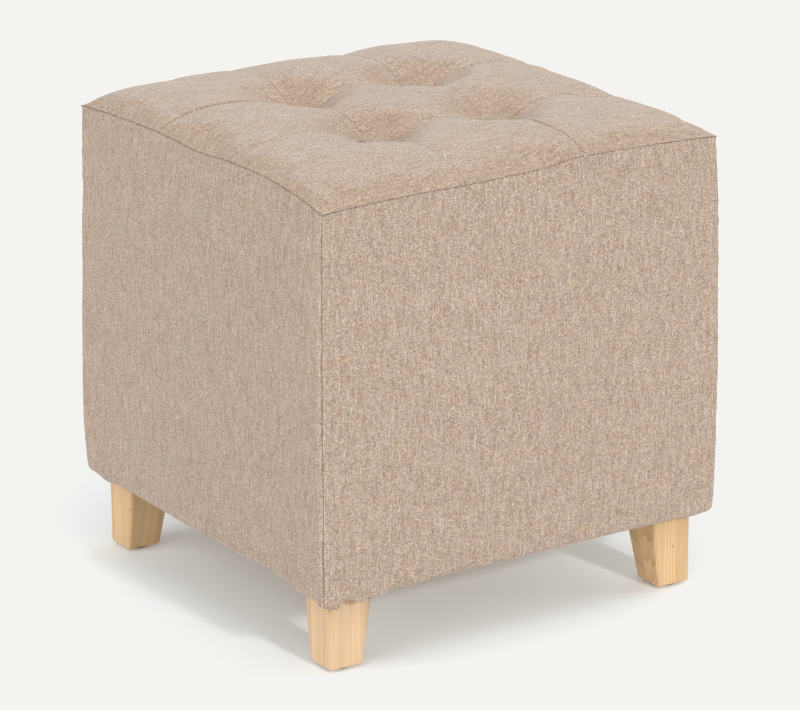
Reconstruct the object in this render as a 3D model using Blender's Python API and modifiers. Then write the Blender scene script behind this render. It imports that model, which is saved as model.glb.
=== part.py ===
"""Cube pouf stool: a filled, tufted seat block in four side panels, on a base board with four tapered legs.

The origin is on the floor under the middle of the stool. +X is to the right, -Y is to the front, +Z is up.
All sizes are in metres.
"""

import math
from collections import namedtuple

import bmesh
import bpy

# Whole stool
COLLECTION_NAME = "cube_pouf_stool"
CUTTER_COLLECTION_NAME = "cutters"
COVER_HALF = 0.1900  # half the width of the cover at its fullest
SEAM_HALF = 0.1850  # half the width at the perimeter seam, where the sides are drawn in
CORNER_RADIUS = 0.0080  # upright corners of the cover
SEAM_CORNER_RADIUS = 0.0045  # corners of the perimeter seam
PIECE_GAP = 0.0003  # clearance between pieces that touch
SEAM_GAP = 0.0005  # clearance under the perimeter seam, where two curved edges meet

# Side panels
PANEL_INNER_HALF = 0.1770  # half the width between the inner faces of opposite panels
FULLEST_HEIGHT = 0.150  # the sides are drawn in above this height, up to the seam
SEAM_DRAW_POWER = 3.0  # how late and how sharply they are drawn in
HEM_HEIGHT = 0.0646  # lower edge of the panels above the floor
HEM_RADIUS = 0.0050  # roll of cloth and padding at the lower edge
HEM_DRAW = 0.0012  # how far the lower edge is pulled in
HEM_DRAW_REACH = 0.060
FACE_BULGE = 0.0020  # outward swell in the middle of a side
STRAIGHT_CELLS = 12  # mesh cells from the middle of a panel to its corner arc
ARC_CELLS = 2  # mesh cells in the corner arc, up to the corner seam
HEM_CELLS = 3
WALL_CELLS = 7
MITRE_SHIFT = 0.00025  # each panel stops this far short of the corner seam, along its own width

# Perimeter seam: its height at the start corner, the two cross seams and between them.
# Each side runs from left to right as seen from outside, and ends at the next side's start.
SeamRow = namedtuple("SeamRow", "side start first_cross middle second_cross")
SEAM_ROWS = (
    SeamRow("front", 0.3712, 0.3750, 0.3764, 0.3816),
    SeamRow("right", 0.3786, 0.3822, 0.3808, 0.3826),
    SeamRow("back", 0.3790, 0.3828, 0.3812, 0.3832),
    SeamRow("left", 0.3798, 0.3842, 0.3816, 0.3842),
)
SEAM_RISE_POWER = 2.6  # how fast the seam climbs away from a corner

# Lower edge: where the turned-under cloth bunches and hangs lower, along each side's run.
HemRow = namedtuple("HemRow", "side run drop spread")
HEM_ROWS = (
    HemRow("front", -0.1870, 0.0038, 0.0080),
    HemRow("front", -0.1780, 0.0052, 0.0050),
    HemRow("front", -0.1560, 0.0048, 0.0090),
    HemRow("front", -0.1390, 0.0036, 0.0070),
    HemRow("front", -0.1100, 0.0014, 0.0200),
    HemRow("front", 0.1680, 0.0012, 0.0130),
    HemRow("right", -0.1700, 0.0026, 0.0090),
    HemRow("right", -0.0600, -0.0010, 0.0300),
    HemRow("right", 0.1600, 0.0024, 0.0120),
    HemRow("back", -0.1640, 0.0028, 0.0110),
    HemRow("back", 0.1720, 0.0032, 0.0090),
    HemRow("left", -0.1550, 0.0020, 0.0110),
    HemRow("left", 0.1000, -0.0018, 0.0300),
    HemRow("left", 0.1490, 0.0026, 0.0090),
    HemRow("left", 0.1650, 0.0020, 0.0080),
    HemRow("left", 0.1850, 0.0048, 0.0080),
)

# Quilted top
CROSS_SEAM_X = (-0.0555, 0.0555)  # the two cross seams that run front to back
CROSS_SEAM_Y = (-0.0610, 0.0540)  # the two cross seams that run left to right
CROWN_HEIGHT = 0.0160  # general rise of the top above the perimeter seam
SHOULDER_REACH = 0.060  # how far in from the seam the crown levels out
GROOVE_DEPTH = 0.0034  # sewn channel along each cross seam
GROOVE_WIDTH = 0.0080
PIT_DEPTH = 0.0270  # dimple that the buttons pull into the crown
PIT_REACH = 0.054
PIT_FLOOR_REACH = 0.0140
PUFF_CELLS = 12  # mesh cells across each puff
BLOCK_HALF = PANEL_INNER_HALF - PIECE_GAP

# Extra swell in the middle of each of the nine puffs, in rows from front to back
PuffRow = namedtuple("PuffRow", "left middle right")
PUFF_ROWS = (
    PuffRow(0.0036, 0.0036, 0.0012),
    PuffRow(0.0036, 0.0034, 0.0030),
    PuffRow(0.0014, 0.0038, 0.0044),
)

# Flat seat of each button, at the crossings of the cross seams
PitRow = namedtuple("PitRow", "corner x y floor")
PIT_ROWS = (
    PitRow("front_left", CROSS_SEAM_X[0], CROSS_SEAM_Y[0], 0.3785),
    PitRow("front_right", CROSS_SEAM_X[1], CROSS_SEAM_Y[0], 0.3800),
    PitRow("back_right", CROSS_SEAM_X[1], CROSS_SEAM_Y[1], 0.3820),
    PitRow("back_left", CROSS_SEAM_X[0], CROSS_SEAM_Y[1], 0.3790),
)

# Fabric-covered buttons
BUTTON_RADIUS = 0.0120
BUTTON_HEIGHT = 0.0072
BUTTON_EDGE = 0.0022  # height of the rounded rim
BUTTON_CLEARANCE = 0.0005
BUTTON_STEPS = 24

# Base board
BOARD_THICKNESS = 0.0150
BOARD_BOTTOM = 0.0690
BOARD_TOP = BOARD_BOTTOM + BOARD_THICKNESS
BLOCK_BOTTOM = BOARD_TOP + PIECE_GAP

# Legs and glides
LEG_OUTER = 0.1740  # outer faces of the legs from the middle of the stool
LEG_TOP_WIDTH = 0.0400
LEG_FOOT_WIDTH = 0.0305
LEG_EDGE_RADIUS = 0.0028
LEG_FOOT_CHAMFER = 0.0020
GLIDE_RADIUS = 0.0105
GLIDE_HEIGHT = 0.0022
GLIDE_EDGE = 0.0006
GLIDE_STEPS = 28
LEG_BOTTOM = GLIDE_HEIGHT + PIECE_GAP
LEG_TOP = BOARD_BOTTOM - PIECE_GAP

SIDES = ("front", "right", "back", "left")  # in quarter turns from the front
CORNERS = ("front_left", "front_right", "back_right", "back_left")  # in quarter turns
CORNER_SIGNS = {
    "front_left": (-1, -1),
    "front_right": (1, -1),
    "back_right": (1, 1),
    "back_left": (-1, 1),
}

Finish = namedtuple("Finish", "name colour roughness metallic")
CLOTH = Finish("melange_cloth", (0.56, 0.45, 0.36, 1.0), 0.92, 0.0)
BUTTON_CLOTH = Finish("button_cloth", (0.55, 0.44, 0.35, 1.0), 0.92, 0.0)
PINE = Finish("pale_pine", (0.78, 0.57, 0.34, 1.0), 0.45, 0.0)
BOARD = Finish("base_board_wood", (0.60, 0.48, 0.34, 1.0), 0.70, 0.0)
GLIDE_PLASTIC = Finish("glide_plastic", (0.10, 0.10, 0.10, 1.0), 0.50, 0.0)


def clear_scene():
    """Remove every object that is already in the scene."""
    for item in list(bpy.data.objects):
        bpy.data.objects.remove(item, do_unlink=True)


def make_collection(name):
    """Return a new collection linked to the scene."""
    collection = bpy.data.collections.new(name)
    bpy.context.scene.collection.children.link(collection)
    return collection


def make_material(finish, node_name):
    """Return a Principled material for one node."""
    material = bpy.data.materials.new(f"{finish.name}_{node_name}")
    material.use_nodes = True
    shader = material.node_tree.nodes["Principled BSDF"]
    shader.inputs["Base Color"].default_value = finish.colour
    shader.inputs["Roughness"].default_value = finish.roughness
    shader.inputs["Metallic"].default_value = finish.metallic
    return material


def finish_object(name, bm, collection, finish, smooth_angle=50.0):
    """Turn a bmesh into a named, dressed object in the collection."""
    mesh = bpy.data.meshes.new(name)
    bm.to_mesh(mesh)
    bm.free()
    mesh.shade_smooth()
    mesh.set_sharp_from_angle(angle=math.radians(smooth_angle))
    item = bpy.data.objects.new(name, mesh)
    item.data.materials.append(make_material(finish, name))
    collection.objects.link(item)
    return item


def mix(low, high, share):
    """Return the value that lies at share of the way from low to high."""
    return low + (high - low) * share


def swell(share):
    """Return a smooth step from 0 to 1."""
    return (1.0 - math.cos(math.pi * share)) / 2.0


def climb(share):
    """Return a step from 0 to 1 that is steep at its start."""
    return 1.0 - (1.0 - min(max(share, 0.0), 1.0)) ** SEAM_RISE_POWER


def fade(distance, reach):
    """Return 1 at no distance, easing to 0 at reach."""
    return max(0.0, 1.0 - distance / reach) ** 2


def cross_seams_on(side):
    """Return where the two cross seams meet a side, along the side's run."""
    seams = {
        "front": CROSS_SEAM_X,
        "right": CROSS_SEAM_Y,
        "back": (-CROSS_SEAM_X[1], -CROSS_SEAM_X[0]),
        "left": (-CROSS_SEAM_Y[1], -CROSS_SEAM_Y[0]),
    }
    return seams[side]


def seam_height(side, run):
    """Return the height of the perimeter seam at a place along a side."""
    index = SIDES.index(side)
    row = SEAM_ROWS[index]
    end = SEAM_ROWS[(index + 1) % len(SEAM_ROWS)].start
    first, second = cross_seams_on(side)
    middle = (first + second) / 2.0
    if run < first:
        return mix(row.start, row.first_cross, climb((run + SEAM_HALF) / (first + SEAM_HALF)))
    if run < middle:
        return mix(row.first_cross, row.middle, swell((run - first) / (middle - first)))
    if run < second:
        return mix(row.middle, row.second_cross, swell((run - middle) / (second - middle)))
    return mix(end, row.second_cross, climb((SEAM_HALF - run) / (SEAM_HALF - second)))


def hem_height(side, run):
    """Return the height of the lower edge at a place along a side."""
    height = HEM_HEIGHT
    for row in HEM_ROWS:
        if row.side == side:
            height -= row.drop * math.exp(-(((run - row.run) / row.spread) ** 2))
    return height


def plan_point(station, half, radius):
    """Return x and y on the front side's outline.

    A station from -1 to 1 lies on the straight part, and out to -2 or 2 on a corner arc.
    """
    straight = half - radius
    reach = abs(station)
    hand = math.copysign(1.0, station)
    if reach <= 1.0:
        return hand * reach * straight, -half
    angle = (reach - 1.0) * math.pi / 4.0
    return hand * (straight + radius * math.sin(angle)), -(straight + radius * math.cos(angle))


def panel_station(column):
    """Return the outline station of a column of the panel's mesh."""
    offset = column - (STRAIGHT_CELLS + ARC_CELLS)
    reach = abs(offset)
    if reach <= STRAIGHT_CELLS:
        station = reach / STRAIGHT_CELLS
    else:
        station = 1.0 + (reach - STRAIGHT_CELLS) / ARC_CELLS
    return math.copysign(station, offset)


def panel_row(row, low, high):
    """Return the height of a row of the panel's mesh between its two edges."""
    if row <= HEM_CELLS:
        turn = row / HEM_CELLS * math.pi / 2.0
        return low + HEM_RADIUS * (1.0 - math.cos(turn))
    share = (row - HEM_CELLS) / WALL_CELLS
    return mix(low + HEM_RADIUS, high, share)


def panel_point(side, column, row, is_outer):
    """Return a point of a side panel, in the front side's place."""
    station = panel_station(column)
    run, _ = plan_point(station, SEAM_HALF, SEAM_CORNER_RADIUS)
    low = hem_height(side, run)
    high = seam_height(side, run) - SEAM_GAP
    height = panel_row(row, low, high)
    if is_outer:
        above_hem = height - low
        draw = max(0.0, (height - FULLEST_HEIGHT) / (high - FULLEST_HEIGHT)) ** SEAM_DRAW_POWER
        half = mix(COVER_HALF, SEAM_HALF, draw)
        half -= HEM_DRAW * fade(above_hem, HEM_DRAW_REACH)
        if above_hem < HEM_RADIUS:
            half -= HEM_RADIUS - math.sqrt(HEM_RADIUS**2 - (HEM_RADIUS - above_hem) ** 2)
        radius = mix(CORNER_RADIUS, SEAM_CORNER_RADIUS, draw)
        x, y = plan_point(station, half, radius)
        across = max(0.0, 1.0 - (x / COVER_HALF) ** 2)
        y -= FACE_BULGE * across * math.sin(math.pi * (height - low) / (high - low))
    else:
        corner = SEAM_HALF - SEAM_CORNER_RADIUS * (1.0 - math.sqrt(0.5))
        x = run * PANEL_INNER_HALF / corner
        y = -PANEL_INNER_HALF
    x -= math.copysign(MITRE_SHIFT, x) * abs(x) / PANEL_INNER_HALF
    return x, y, height


def cells_between(bm, axis, count):
    """Cut every edge that runs along an axis into a number of equal parts."""
    along = [e for e in bm.edges if abs(e.verts[0].co[axis] - e.verts[1].co[axis]) > 1.0]
    bmesh.ops.subdivide_edges(bm, edges=along, cuts=count - 1, use_grid_fill=True)


def index_along(coordinate, count):
    """Return which cell boundary a coordinate from -1 to 1 is on."""
    return round((coordinate + 1.0) / 2.0 * count)


def make_side_panel(side, collection):
    """Make one padded side panel, turned to its side of the stool."""
    columns = 2 * (STRAIGHT_CELLS + ARC_CELLS)
    rows = HEM_CELLS + WALL_CELLS
    bm = bmesh.new()
    bmesh.ops.create_cube(bm, size=2.0)
    cells_between(bm, 0, columns)
    cells_between(bm, 2, rows)
    for vert in bm.verts:
        column = index_along(vert.co.x, columns)
        row = index_along(vert.co.z, rows)
        vert.co = panel_point(side, column, row, vert.co.y < 0.0)
    panel = finish_object(f"side_panel_{side}", bm, collection, CLOTH)
    panel.rotation_euler.z = SIDES.index(side) * math.pi / 2.0
    return panel


def seam_surface(x, y):
    """Return the height of a smooth surface that passes through the whole perimeter seam."""
    u = (x / SEAM_HALF + 1.0) / 2.0
    v = (y / SEAM_HALF + 1.0) / 2.0
    front = seam_height("front", x)
    back = seam_height("back", -x)
    right = seam_height("right", y)
    left = seam_height("left", -y)
    corners = mix(
        mix(SEAM_ROWS[0].start, SEAM_ROWS[1].start, u),
        mix(SEAM_ROWS[3].start, SEAM_ROWS[2].start, u),
        v,
    )
    return mix(front, back, v) + mix(left, right, u) - corners


def shoulder(inset):
    """Return the crown's rounded rise, from 0 at the seam to 1 at the shoulder's reach."""
    share = max(0.0, 1.0 - inset / SHOULDER_REACH)
    return math.sqrt(max(0.0, 1.0 - share * share))


def puff_place(place, seams):
    """Return which puff a place is in, and its share of swell: 0 at the seams and 1 in the middle."""
    edges = (-SEAM_HALF, *seams, SEAM_HALF)
    index = sum(place > seam for seam in seams)
    low, high = edges[index], edges[index + 1]
    return index, math.sin(math.pi * (place - low) / (high - low))


def crown_height(x, y):
    """Return the height of the quilted top, with its puffs, channels and pits."""
    inset_x = SEAM_HALF - abs(x)
    inset_y = SEAM_HALF - abs(y)
    edge = shoulder(inset_x) * shoulder(inset_y)
    column, swell_x = puff_place(x, CROSS_SEAM_X)
    row, swell_y = puff_place(y, CROSS_SEAM_Y)
    height = CROWN_HEIGHT * edge + PUFF_ROWS[row][column] * swell_x * swell_y
    for place, seams in ((x, CROSS_SEAM_X), (y, CROSS_SEAM_Y)):
        nearest = min(abs(place - seam) for seam in seams)
        height -= GROOVE_DEPTH * edge * math.exp(-nearest / GROOVE_WIDTH)
    height += seam_surface(x, y)
    for pit in PIT_ROWS:
        distance = math.hypot(x - pit.x, y - pit.y)
        height -= PIT_DEPTH * fade(distance, PIT_REACH)
        if distance < PIT_FLOOR_REACH:
            height = max(height, pit.floor + PIECE_GAP)
    return height


def grid_line(index, seams):
    """Return the place of a grid line, with the lines closer together at the seams."""
    edges = (-SEAM_HALF, *seams, SEAM_HALF)
    puff = min(index // PUFF_CELLS, 2)
    share = swell((index - puff * PUFF_CELLS) / PUFF_CELLS)
    return mix(edges[puff], edges[puff + 1], share)


def round_corner(x, y):
    """Pull the corners of the square in to the radius of the seam's corners."""
    pull = SEAM_CORNER_RADIUS * (1.0 - math.sqrt(0.5)) / SEAM_HALF
    nearness = (abs(x * y) / SEAM_HALF**2) ** 24
    return x * (1.0 - pull * nearness), y * (1.0 - pull * nearness)


def extrude_rim(bm, rim):
    """Extrude a closed rim of edges and return its new edges and vertices."""
    made = bmesh.ops.extrude_edge_only(bm, edges=rim)["geom"]
    edges = [g for g in made if isinstance(g, bmesh.types.BMEdge)]
    moved = {g for g in made if isinstance(g, bmesh.types.BMVert)}
    return [e for e in edges if e.verts[0] in moved and e.verts[1] in moved], moved


def make_pit_cutter(pit, collection):
    """Make the round cutter that levels a button's seat."""
    bm = bmesh.new()
    bmesh.ops.create_cone(
        bm,
        cap_ends=True,
        segments=BUTTON_STEPS,
        radius1=BUTTON_RADIUS + BUTTON_CLEARANCE,
        radius2=BUTTON_RADIUS + BUTTON_CLEARANCE,
        depth=2.0 * BUTTON_HEIGHT,
    )
    name = f"pit_cutter_{pit.corner}"
    mesh = bpy.data.meshes.new(name)
    bm.to_mesh(mesh)
    bm.free()
    cutter = bpy.data.objects.new(name, mesh)
    cutter.location = (pit.x, pit.y, pit.floor + BUTTON_HEIGHT)
    cutter.hide_render = True
    cutter.display_type = "WIRE"
    collection.objects.link(cutter)
    return cutter


def make_top_cushion(collection, cutters):
    """Make the filled block with its quilted top as one solid."""
    lines = 3 * PUFF_CELLS
    bm = bmesh.new()
    bmesh.ops.create_grid(bm, x_segments=lines, y_segments=lines, size=1.0)
    rim = [e for e in bm.edges if e.is_boundary]
    for vert in bm.verts:
        x = grid_line(index_along(vert.co.x, lines), CROSS_SEAM_X)
        y = grid_line(index_along(vert.co.y, lines), CROSS_SEAM_Y)
        vert.co = (*round_corner(x, y), crown_height(x, y))
    rim, ledge = extrude_rim(bm, rim)
    for vert in ledge:
        scale = BLOCK_HALF / max(abs(vert.co.x), abs(vert.co.y))
        vert.co.x *= scale
        vert.co.y *= scale
    rim, foot = extrude_rim(bm, rim)
    for vert in foot:
        vert.co.z = BLOCK_BOTTOM
    bmesh.ops.edgeloop_fill(bm, edges=rim)
    bmesh.ops.recalc_face_normals(bm, faces=bm.faces)
    cushion = finish_object("top_cushion", bm, collection, CLOTH)
    for pit in PIT_ROWS:
        cut = cushion.modifiers.new(f"button_seat_{pit.corner}", "BOOLEAN")
        cut.operation = "DIFFERENCE"
        cut.object = make_pit_cutter(pit, cutters)
    return cushion


def make_tuft_button(pit, collection):
    """Make one fabric-covered button as a turned dome on the floor of its pit."""
    bm = bmesh.new()
    dome = BUTTON_HEIGHT - BUTTON_EDGE
    profile = [(0.0, BUTTON_HEIGHT)]
    for step in range(1, 6):
        angle = step / 6.0 * math.pi / 2.0
        profile.append((BUTTON_RADIUS * math.sin(angle), BUTTON_EDGE + dome * math.cos(angle)))
    profile += [(BUTTON_RADIUS, BUTTON_EDGE), (BUTTON_RADIUS * 0.86, 0.0), (0.0, 0.0)]
    points = [bm.verts.new((x, 0.0, z)) for x, z in profile]
    for first, second in zip(points, points[1:]):
        bm.edges.new((first, second))
    button = finish_object(f"tuft_button_{pit.corner}", bm, collection, BUTTON_CLOTH)
    screw = button.modifiers.new("turn", "SCREW")
    screw.steps = BUTTON_STEPS
    screw.render_steps = BUTTON_STEPS
    screw.use_merge_vertices = True
    screw.merge_threshold = 0.00001
    screw.use_smooth_shade = True
    button.location = (pit.x, pit.y, pit.floor + PIECE_GAP)
    return button


def make_base_board(collection):
    """Make the board that carries the block and the legs."""
    bm = bmesh.new()
    bmesh.ops.create_cube(bm, size=1.0)
    for vert in bm.verts:
        vert.co.x *= 2.0 * BLOCK_HALF
        vert.co.y *= 2.0 * BLOCK_HALF
        vert.co.z = BOARD_BOTTOM + (vert.co.z + 0.5) * BOARD_THICKNESS
    board = finish_object("base_board", bm, collection, BOARD, 30.0)
    edge = board.modifiers.new("eased_edges", "BEVEL")
    edge.width = 0.0012
    edge.segments = 1
    return board


def make_leg(corner, collection):
    """Make one leg, upright on its two outer faces and tapered on its two inner faces."""
    bm = bmesh.new()
    bmesh.ops.create_cube(bm, size=2.0)
    for vert in bm.verts:
        is_foot = vert.co.z < 0.0
        width = LEG_FOOT_WIDTH if is_foot else LEG_TOP_WIDTH
        vert.co.x = -LEG_OUTER if vert.co.x < 0.0 else -LEG_OUTER + width
        vert.co.y = -LEG_OUTER if vert.co.y < 0.0 else -LEG_OUTER + width
        vert.co.z = LEG_BOTTOM if is_foot else LEG_TOP
    upright = [e for e in bm.edges if abs(e.verts[0].co.z - e.verts[1].co.z) > LEG_FOOT_WIDTH]
    bmesh.ops.bevel(
        bm, geom=upright, offset=LEG_EDGE_RADIUS, segments=4, profile=0.5, affect="EDGES"
    )
    foot = [e for e in bm.edges if max(v.co.z for v in e.verts) < LEG_BOTTOM + PIECE_GAP]
    bmesh.ops.bevel(
        bm, geom=foot, offset=LEG_FOOT_CHAMFER, segments=2, profile=0.6, affect="EDGES"
    )
    leg = finish_object(f"leg_{corner}", bm, collection, PINE, 30.0)
    leg.rotation_euler.z = CORNERS.index(corner) * math.pi / 2.0
    return leg


def make_glide(corner, collection):
    """Make the round glide under one leg."""
    bm = bmesh.new()
    bmesh.ops.create_cone(
        bm,
        cap_ends=True,
        segments=GLIDE_STEPS,
        radius1=GLIDE_RADIUS,
        radius2=GLIDE_RADIUS,
        depth=GLIDE_HEIGHT,
    )
    glide = finish_object(f"glide_{corner}", bm, collection, GLIDE_PLASTIC, 30.0)
    edge = glide.modifiers.new("rounded_rim", "BEVEL")
    edge.width = GLIDE_EDGE
    edge.segments = 2
    hand, depth = CORNER_SIGNS[corner]
    middle = LEG_OUTER - LEG_FOOT_WIDTH / 2.0
    glide.location = (hand * middle, depth * middle, GLIDE_HEIGHT / 2.0)
    return glide


def main():
    """Build the whole stool."""
    clear_scene()
    collection = make_collection(COLLECTION_NAME)
    cutters = make_collection(CUTTER_COLLECTION_NAME)
    make_top_cushion(collection, cutters)
    for side in SIDES:
        make_side_panel(side, collection)
    make_base_board(collection)
    for pit in PIT_ROWS:
        make_tuft_button(pit, collection)
    for corner in CORNERS:
        make_leg(corner, collection)
        make_glide(corner, collection)


main()
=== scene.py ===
import logging
import math
from dataclasses import dataclass
from enum import Enum

import bmesh
import bpy
import numpy as np
from mathutils import Matrix, Vector


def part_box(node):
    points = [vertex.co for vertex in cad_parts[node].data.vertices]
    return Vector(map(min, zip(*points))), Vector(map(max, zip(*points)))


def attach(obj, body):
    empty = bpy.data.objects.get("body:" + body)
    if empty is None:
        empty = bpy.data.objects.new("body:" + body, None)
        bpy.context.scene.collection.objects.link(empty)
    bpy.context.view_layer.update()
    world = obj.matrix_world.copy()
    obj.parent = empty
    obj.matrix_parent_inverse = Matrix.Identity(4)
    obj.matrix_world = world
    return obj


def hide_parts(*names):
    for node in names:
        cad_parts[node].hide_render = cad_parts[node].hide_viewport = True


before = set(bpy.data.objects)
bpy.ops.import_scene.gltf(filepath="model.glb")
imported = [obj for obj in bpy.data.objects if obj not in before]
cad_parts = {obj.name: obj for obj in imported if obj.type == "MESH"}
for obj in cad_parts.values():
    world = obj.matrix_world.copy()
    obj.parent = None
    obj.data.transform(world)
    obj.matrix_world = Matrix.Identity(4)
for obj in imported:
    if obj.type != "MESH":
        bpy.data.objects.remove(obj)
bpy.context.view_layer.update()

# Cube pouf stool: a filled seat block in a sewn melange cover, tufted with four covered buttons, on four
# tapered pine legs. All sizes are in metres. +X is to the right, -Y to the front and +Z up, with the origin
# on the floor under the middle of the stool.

LOG = logging.getLogger("cube_pouf_stool")
BODY = "root"
PLAN = "cloth_plan"  # point attribute: where a point lies in the cloth before it is sewn and filled
RUN = "cloth_run"  # point attribute: lengths measured along the finished cloth
LIGHT_PAINT = "cloth_light_paint"  # point attribute: painted light and shade for the top's cloth, lighter and cooler where it faces up and darker in the dimples
CLEARANCE = 0.0003  # between pieces that touch

# The inputs of the stitching's node tree
PITCH = "Stitch pitch"
LENGTH = "Stitch length"
RADIUS = "Thread radius"
UNEVENNESS = "Unevenness"
SEED = "Seed"

Number = float | np.ndarray
Socket = bpy.types.NodeSocket
Feed = Socket | float | tuple[float, ...] | bpy.types.Material


class Side(Enum):
    """A side of the cover, in quarter turns from the front."""

    FRONT = 0
    RIGHT = 1
    BACK = 2
    LEFT = 3


class Corner(Enum):
    """A corner of the stool, in quarter turns from the front left."""

    FRONT_LEFT = 0
    FRONT_RIGHT = 1
    BACK_RIGHT = 2
    BACK_LEFT = 3


class SlubRun(Enum):
    """The way in which the thick yarns of a cut piece of cloth run."""

    UPRIGHT = "upright"
    ACROSS = "across"


# ---------------------------------------------------------------------------------------------------------
# Small helpers


def mix(low: Number, high: Number, share: Number) -> Number:
    """Return the value, or array of values, that lies at share of the way from low to high."""
    return low + (high - low) * share


def swell(share: np.ndarray) -> np.ndarray:
    """Return a smooth step from 0 to 1."""
    return (1.0 - np.cos(np.pi * share)) / 2.0


def fade(distance: np.ndarray, reach: float) -> np.ndarray:
    """Return 1 at no distance, easing to 0 at reach."""
    return np.clip(1.0 - distance / reach, 0.0, 1.0) ** 2


def roll(distance: np.ndarray, reach: float) -> np.ndarray:
    """Return the turn of a rounded edge: 1 at the edge itself, and 0 from reach onwards.

    Args:
        distance: How far each point is from the edge.
        reach: How far in from the edge the rounding starts.

    Returns:
        The share of the edge's depth at each point, on a quarter circle.
    """
    share = np.clip(1.0 - distance / reach, 0.0, 1.0)
    return 1.0 - np.sqrt(1.0 - share * share)


@dataclass(frozen=True)
class Ripple:
    """An uneven wave, made of a few seeded sine waves of different lengths."""

    seed: int
    shortest: float
    longest: float
    spread: float = math.pi
    count: int = 7

    def at(self, x: np.ndarray, y: np.ndarray) -> np.ndarray:
        """Return the wave's height at points of a plane.

        Args:
            x: The first coordinate of each point. With a spread of 0, the wave runs along it.
            y: The second coordinate of each point.

        Returns:
            Heights that are mostly between -1 and 1.
        """
        random = np.random.default_rng(self.seed)
        height = np.zeros(np.broadcast(x, y).shape)
        for _ in range(self.count):
            turns = 2.0 * math.pi / random.uniform(self.shortest, self.longest)
            heading = random.uniform(-self.spread, self.spread)
            phase = random.uniform(0.0, 2.0 * math.pi)
            height += np.sin(turns * (x * math.cos(heading) + y * math.sin(heading)) + phase)
        return height / math.sqrt(self.count)


def place_object(name: str, data: bpy.types.ID) -> bpy.types.Object:
    """Put an object into the scene, at the origin and unturned.

    Args:
        name: The object's name.
        data: What it holds: a mesh, a light or a camera.

    Returns:
        The new object.
    """
    made = bpy.data.objects.new(name, data)
    bpy.context.scene.collection.objects.link(made)
    return made


def make_mesh_object(name: str, points: np.ndarray, faces: list[tuple[int, ...]]) -> bpy.types.Object:
    """Make a smooth, closed mesh object whose faces point outwards.

    Args:
        name: The piece's name.
        points: One row of three coordinates for each vertex.
        faces: The vertex numbers of each face.

    Returns:
        The new object, linked to the scene.
    """
    mesh = bpy.data.meshes.new(name)
    mesh.from_pydata(points.tolist(), [], faces)
    bm = bmesh.new()
    bm.from_mesh(mesh)
    bmesh.ops.recalc_face_normals(bm, faces=bm.faces)
    bm.to_mesh(mesh)
    bm.free()
    mesh.shade_smooth()
    return place_object(name, mesh)


def ring_faces(number: np.ndarray) -> list[tuple[int, ...]]:
    """Return the faces of a skin of closed rings, without its two ends.

    Args:
        number: The vertex numbers, one row for each ring.

    Returns:
        The vertex numbers of each four-sided face.
    """
    after = np.roll(number, -1, axis=1)
    quads = np.stack([number[:-1], number[1:], after[1:], after[:-1]], axis=-1).reshape(-1, 4)
    return [tuple(map(int, quad)) for quad in quads]


def set_points(mesh: bpy.types.Mesh, points: np.ndarray) -> None:
    """Move every vertex of a mesh to its row of points."""
    mesh.vertices.foreach_set("co", points.astype(np.float32).ravel())
    mesh.update()


def read_vectors(rows: bpy.types.bpy_prop_collection, field: str) -> np.ndarray:
    """Return the vectors that some mesh data holds.

    Args:
        rows: The mesh data, such as the vertices.
        field: The name of the vector in each of them.

    Returns:
        One row of three numbers for each.
    """
    flat = np.empty(len(rows) * 3, np.float32)
    rows.foreach_get(field, flat)
    return flat.reshape(-1, 3).astype(float)


def get_points(mesh: bpy.types.Mesh) -> np.ndarray:
    """Return the places of a mesh's vertices, one row each."""
    return read_vectors(mesh.vertices, "co")


def get_normals(mesh: bpy.types.Mesh) -> np.ndarray:
    """Return the normals of a mesh's vertices, one row each."""
    return read_vectors(mesh.vertex_normals, "vector")


def set_attribute(mesh: bpy.types.Mesh, name: str, values: np.ndarray) -> None:
    """Store one vector for each vertex of a mesh under a name."""
    attribute = mesh.attributes.get(name) or mesh.attributes.new(name, "FLOAT_VECTOR", "POINT")
    attribute.data.foreach_set("vector", values.astype(np.float32).ravel())


def get_attribute(mesh: bpy.types.Mesh, name: str) -> np.ndarray:
    """Return the vectors that a mesh stores under a name, one row for each vertex."""
    return read_vectors(mesh.attributes[name].data, "vector")


def bake_modifiers(piece: bpy.types.Object) -> None:
    """Replace a piece's mesh by what its modifiers make of it, and remove them.

    Args:
        piece: The piece, whose modifiers are all meant to stay in its shape.
    """
    graph = bpy.context.evaluated_depsgraph_get()
    mesh = bpy.data.meshes.new_from_object(piece.evaluated_get(graph), depsgraph=graph)
    piece.modifiers.clear()
    old = piece.data
    mesh.name = piece.name
    piece.data = mesh
    bpy.data.meshes.remove(old)


def hand_over(piece: bpy.types.Object, replaced: tuple[str, ...]) -> None:
    """Tie a finished piece to the frame and report it.

    Args:
        piece: The finished piece, with its place in its mesh.
        replaced: The frame's nodes that the piece stands for.
    """
    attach(piece, BODY)
    if replaced:
        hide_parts(*replaced)
    piece.data.calc_loop_triangles()
    LOG.info("%s: %d triangles", piece.name, len(piece.data.loop_triangles))


# ---------------------------------------------------------------------------------------------------------
# Finishes


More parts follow.
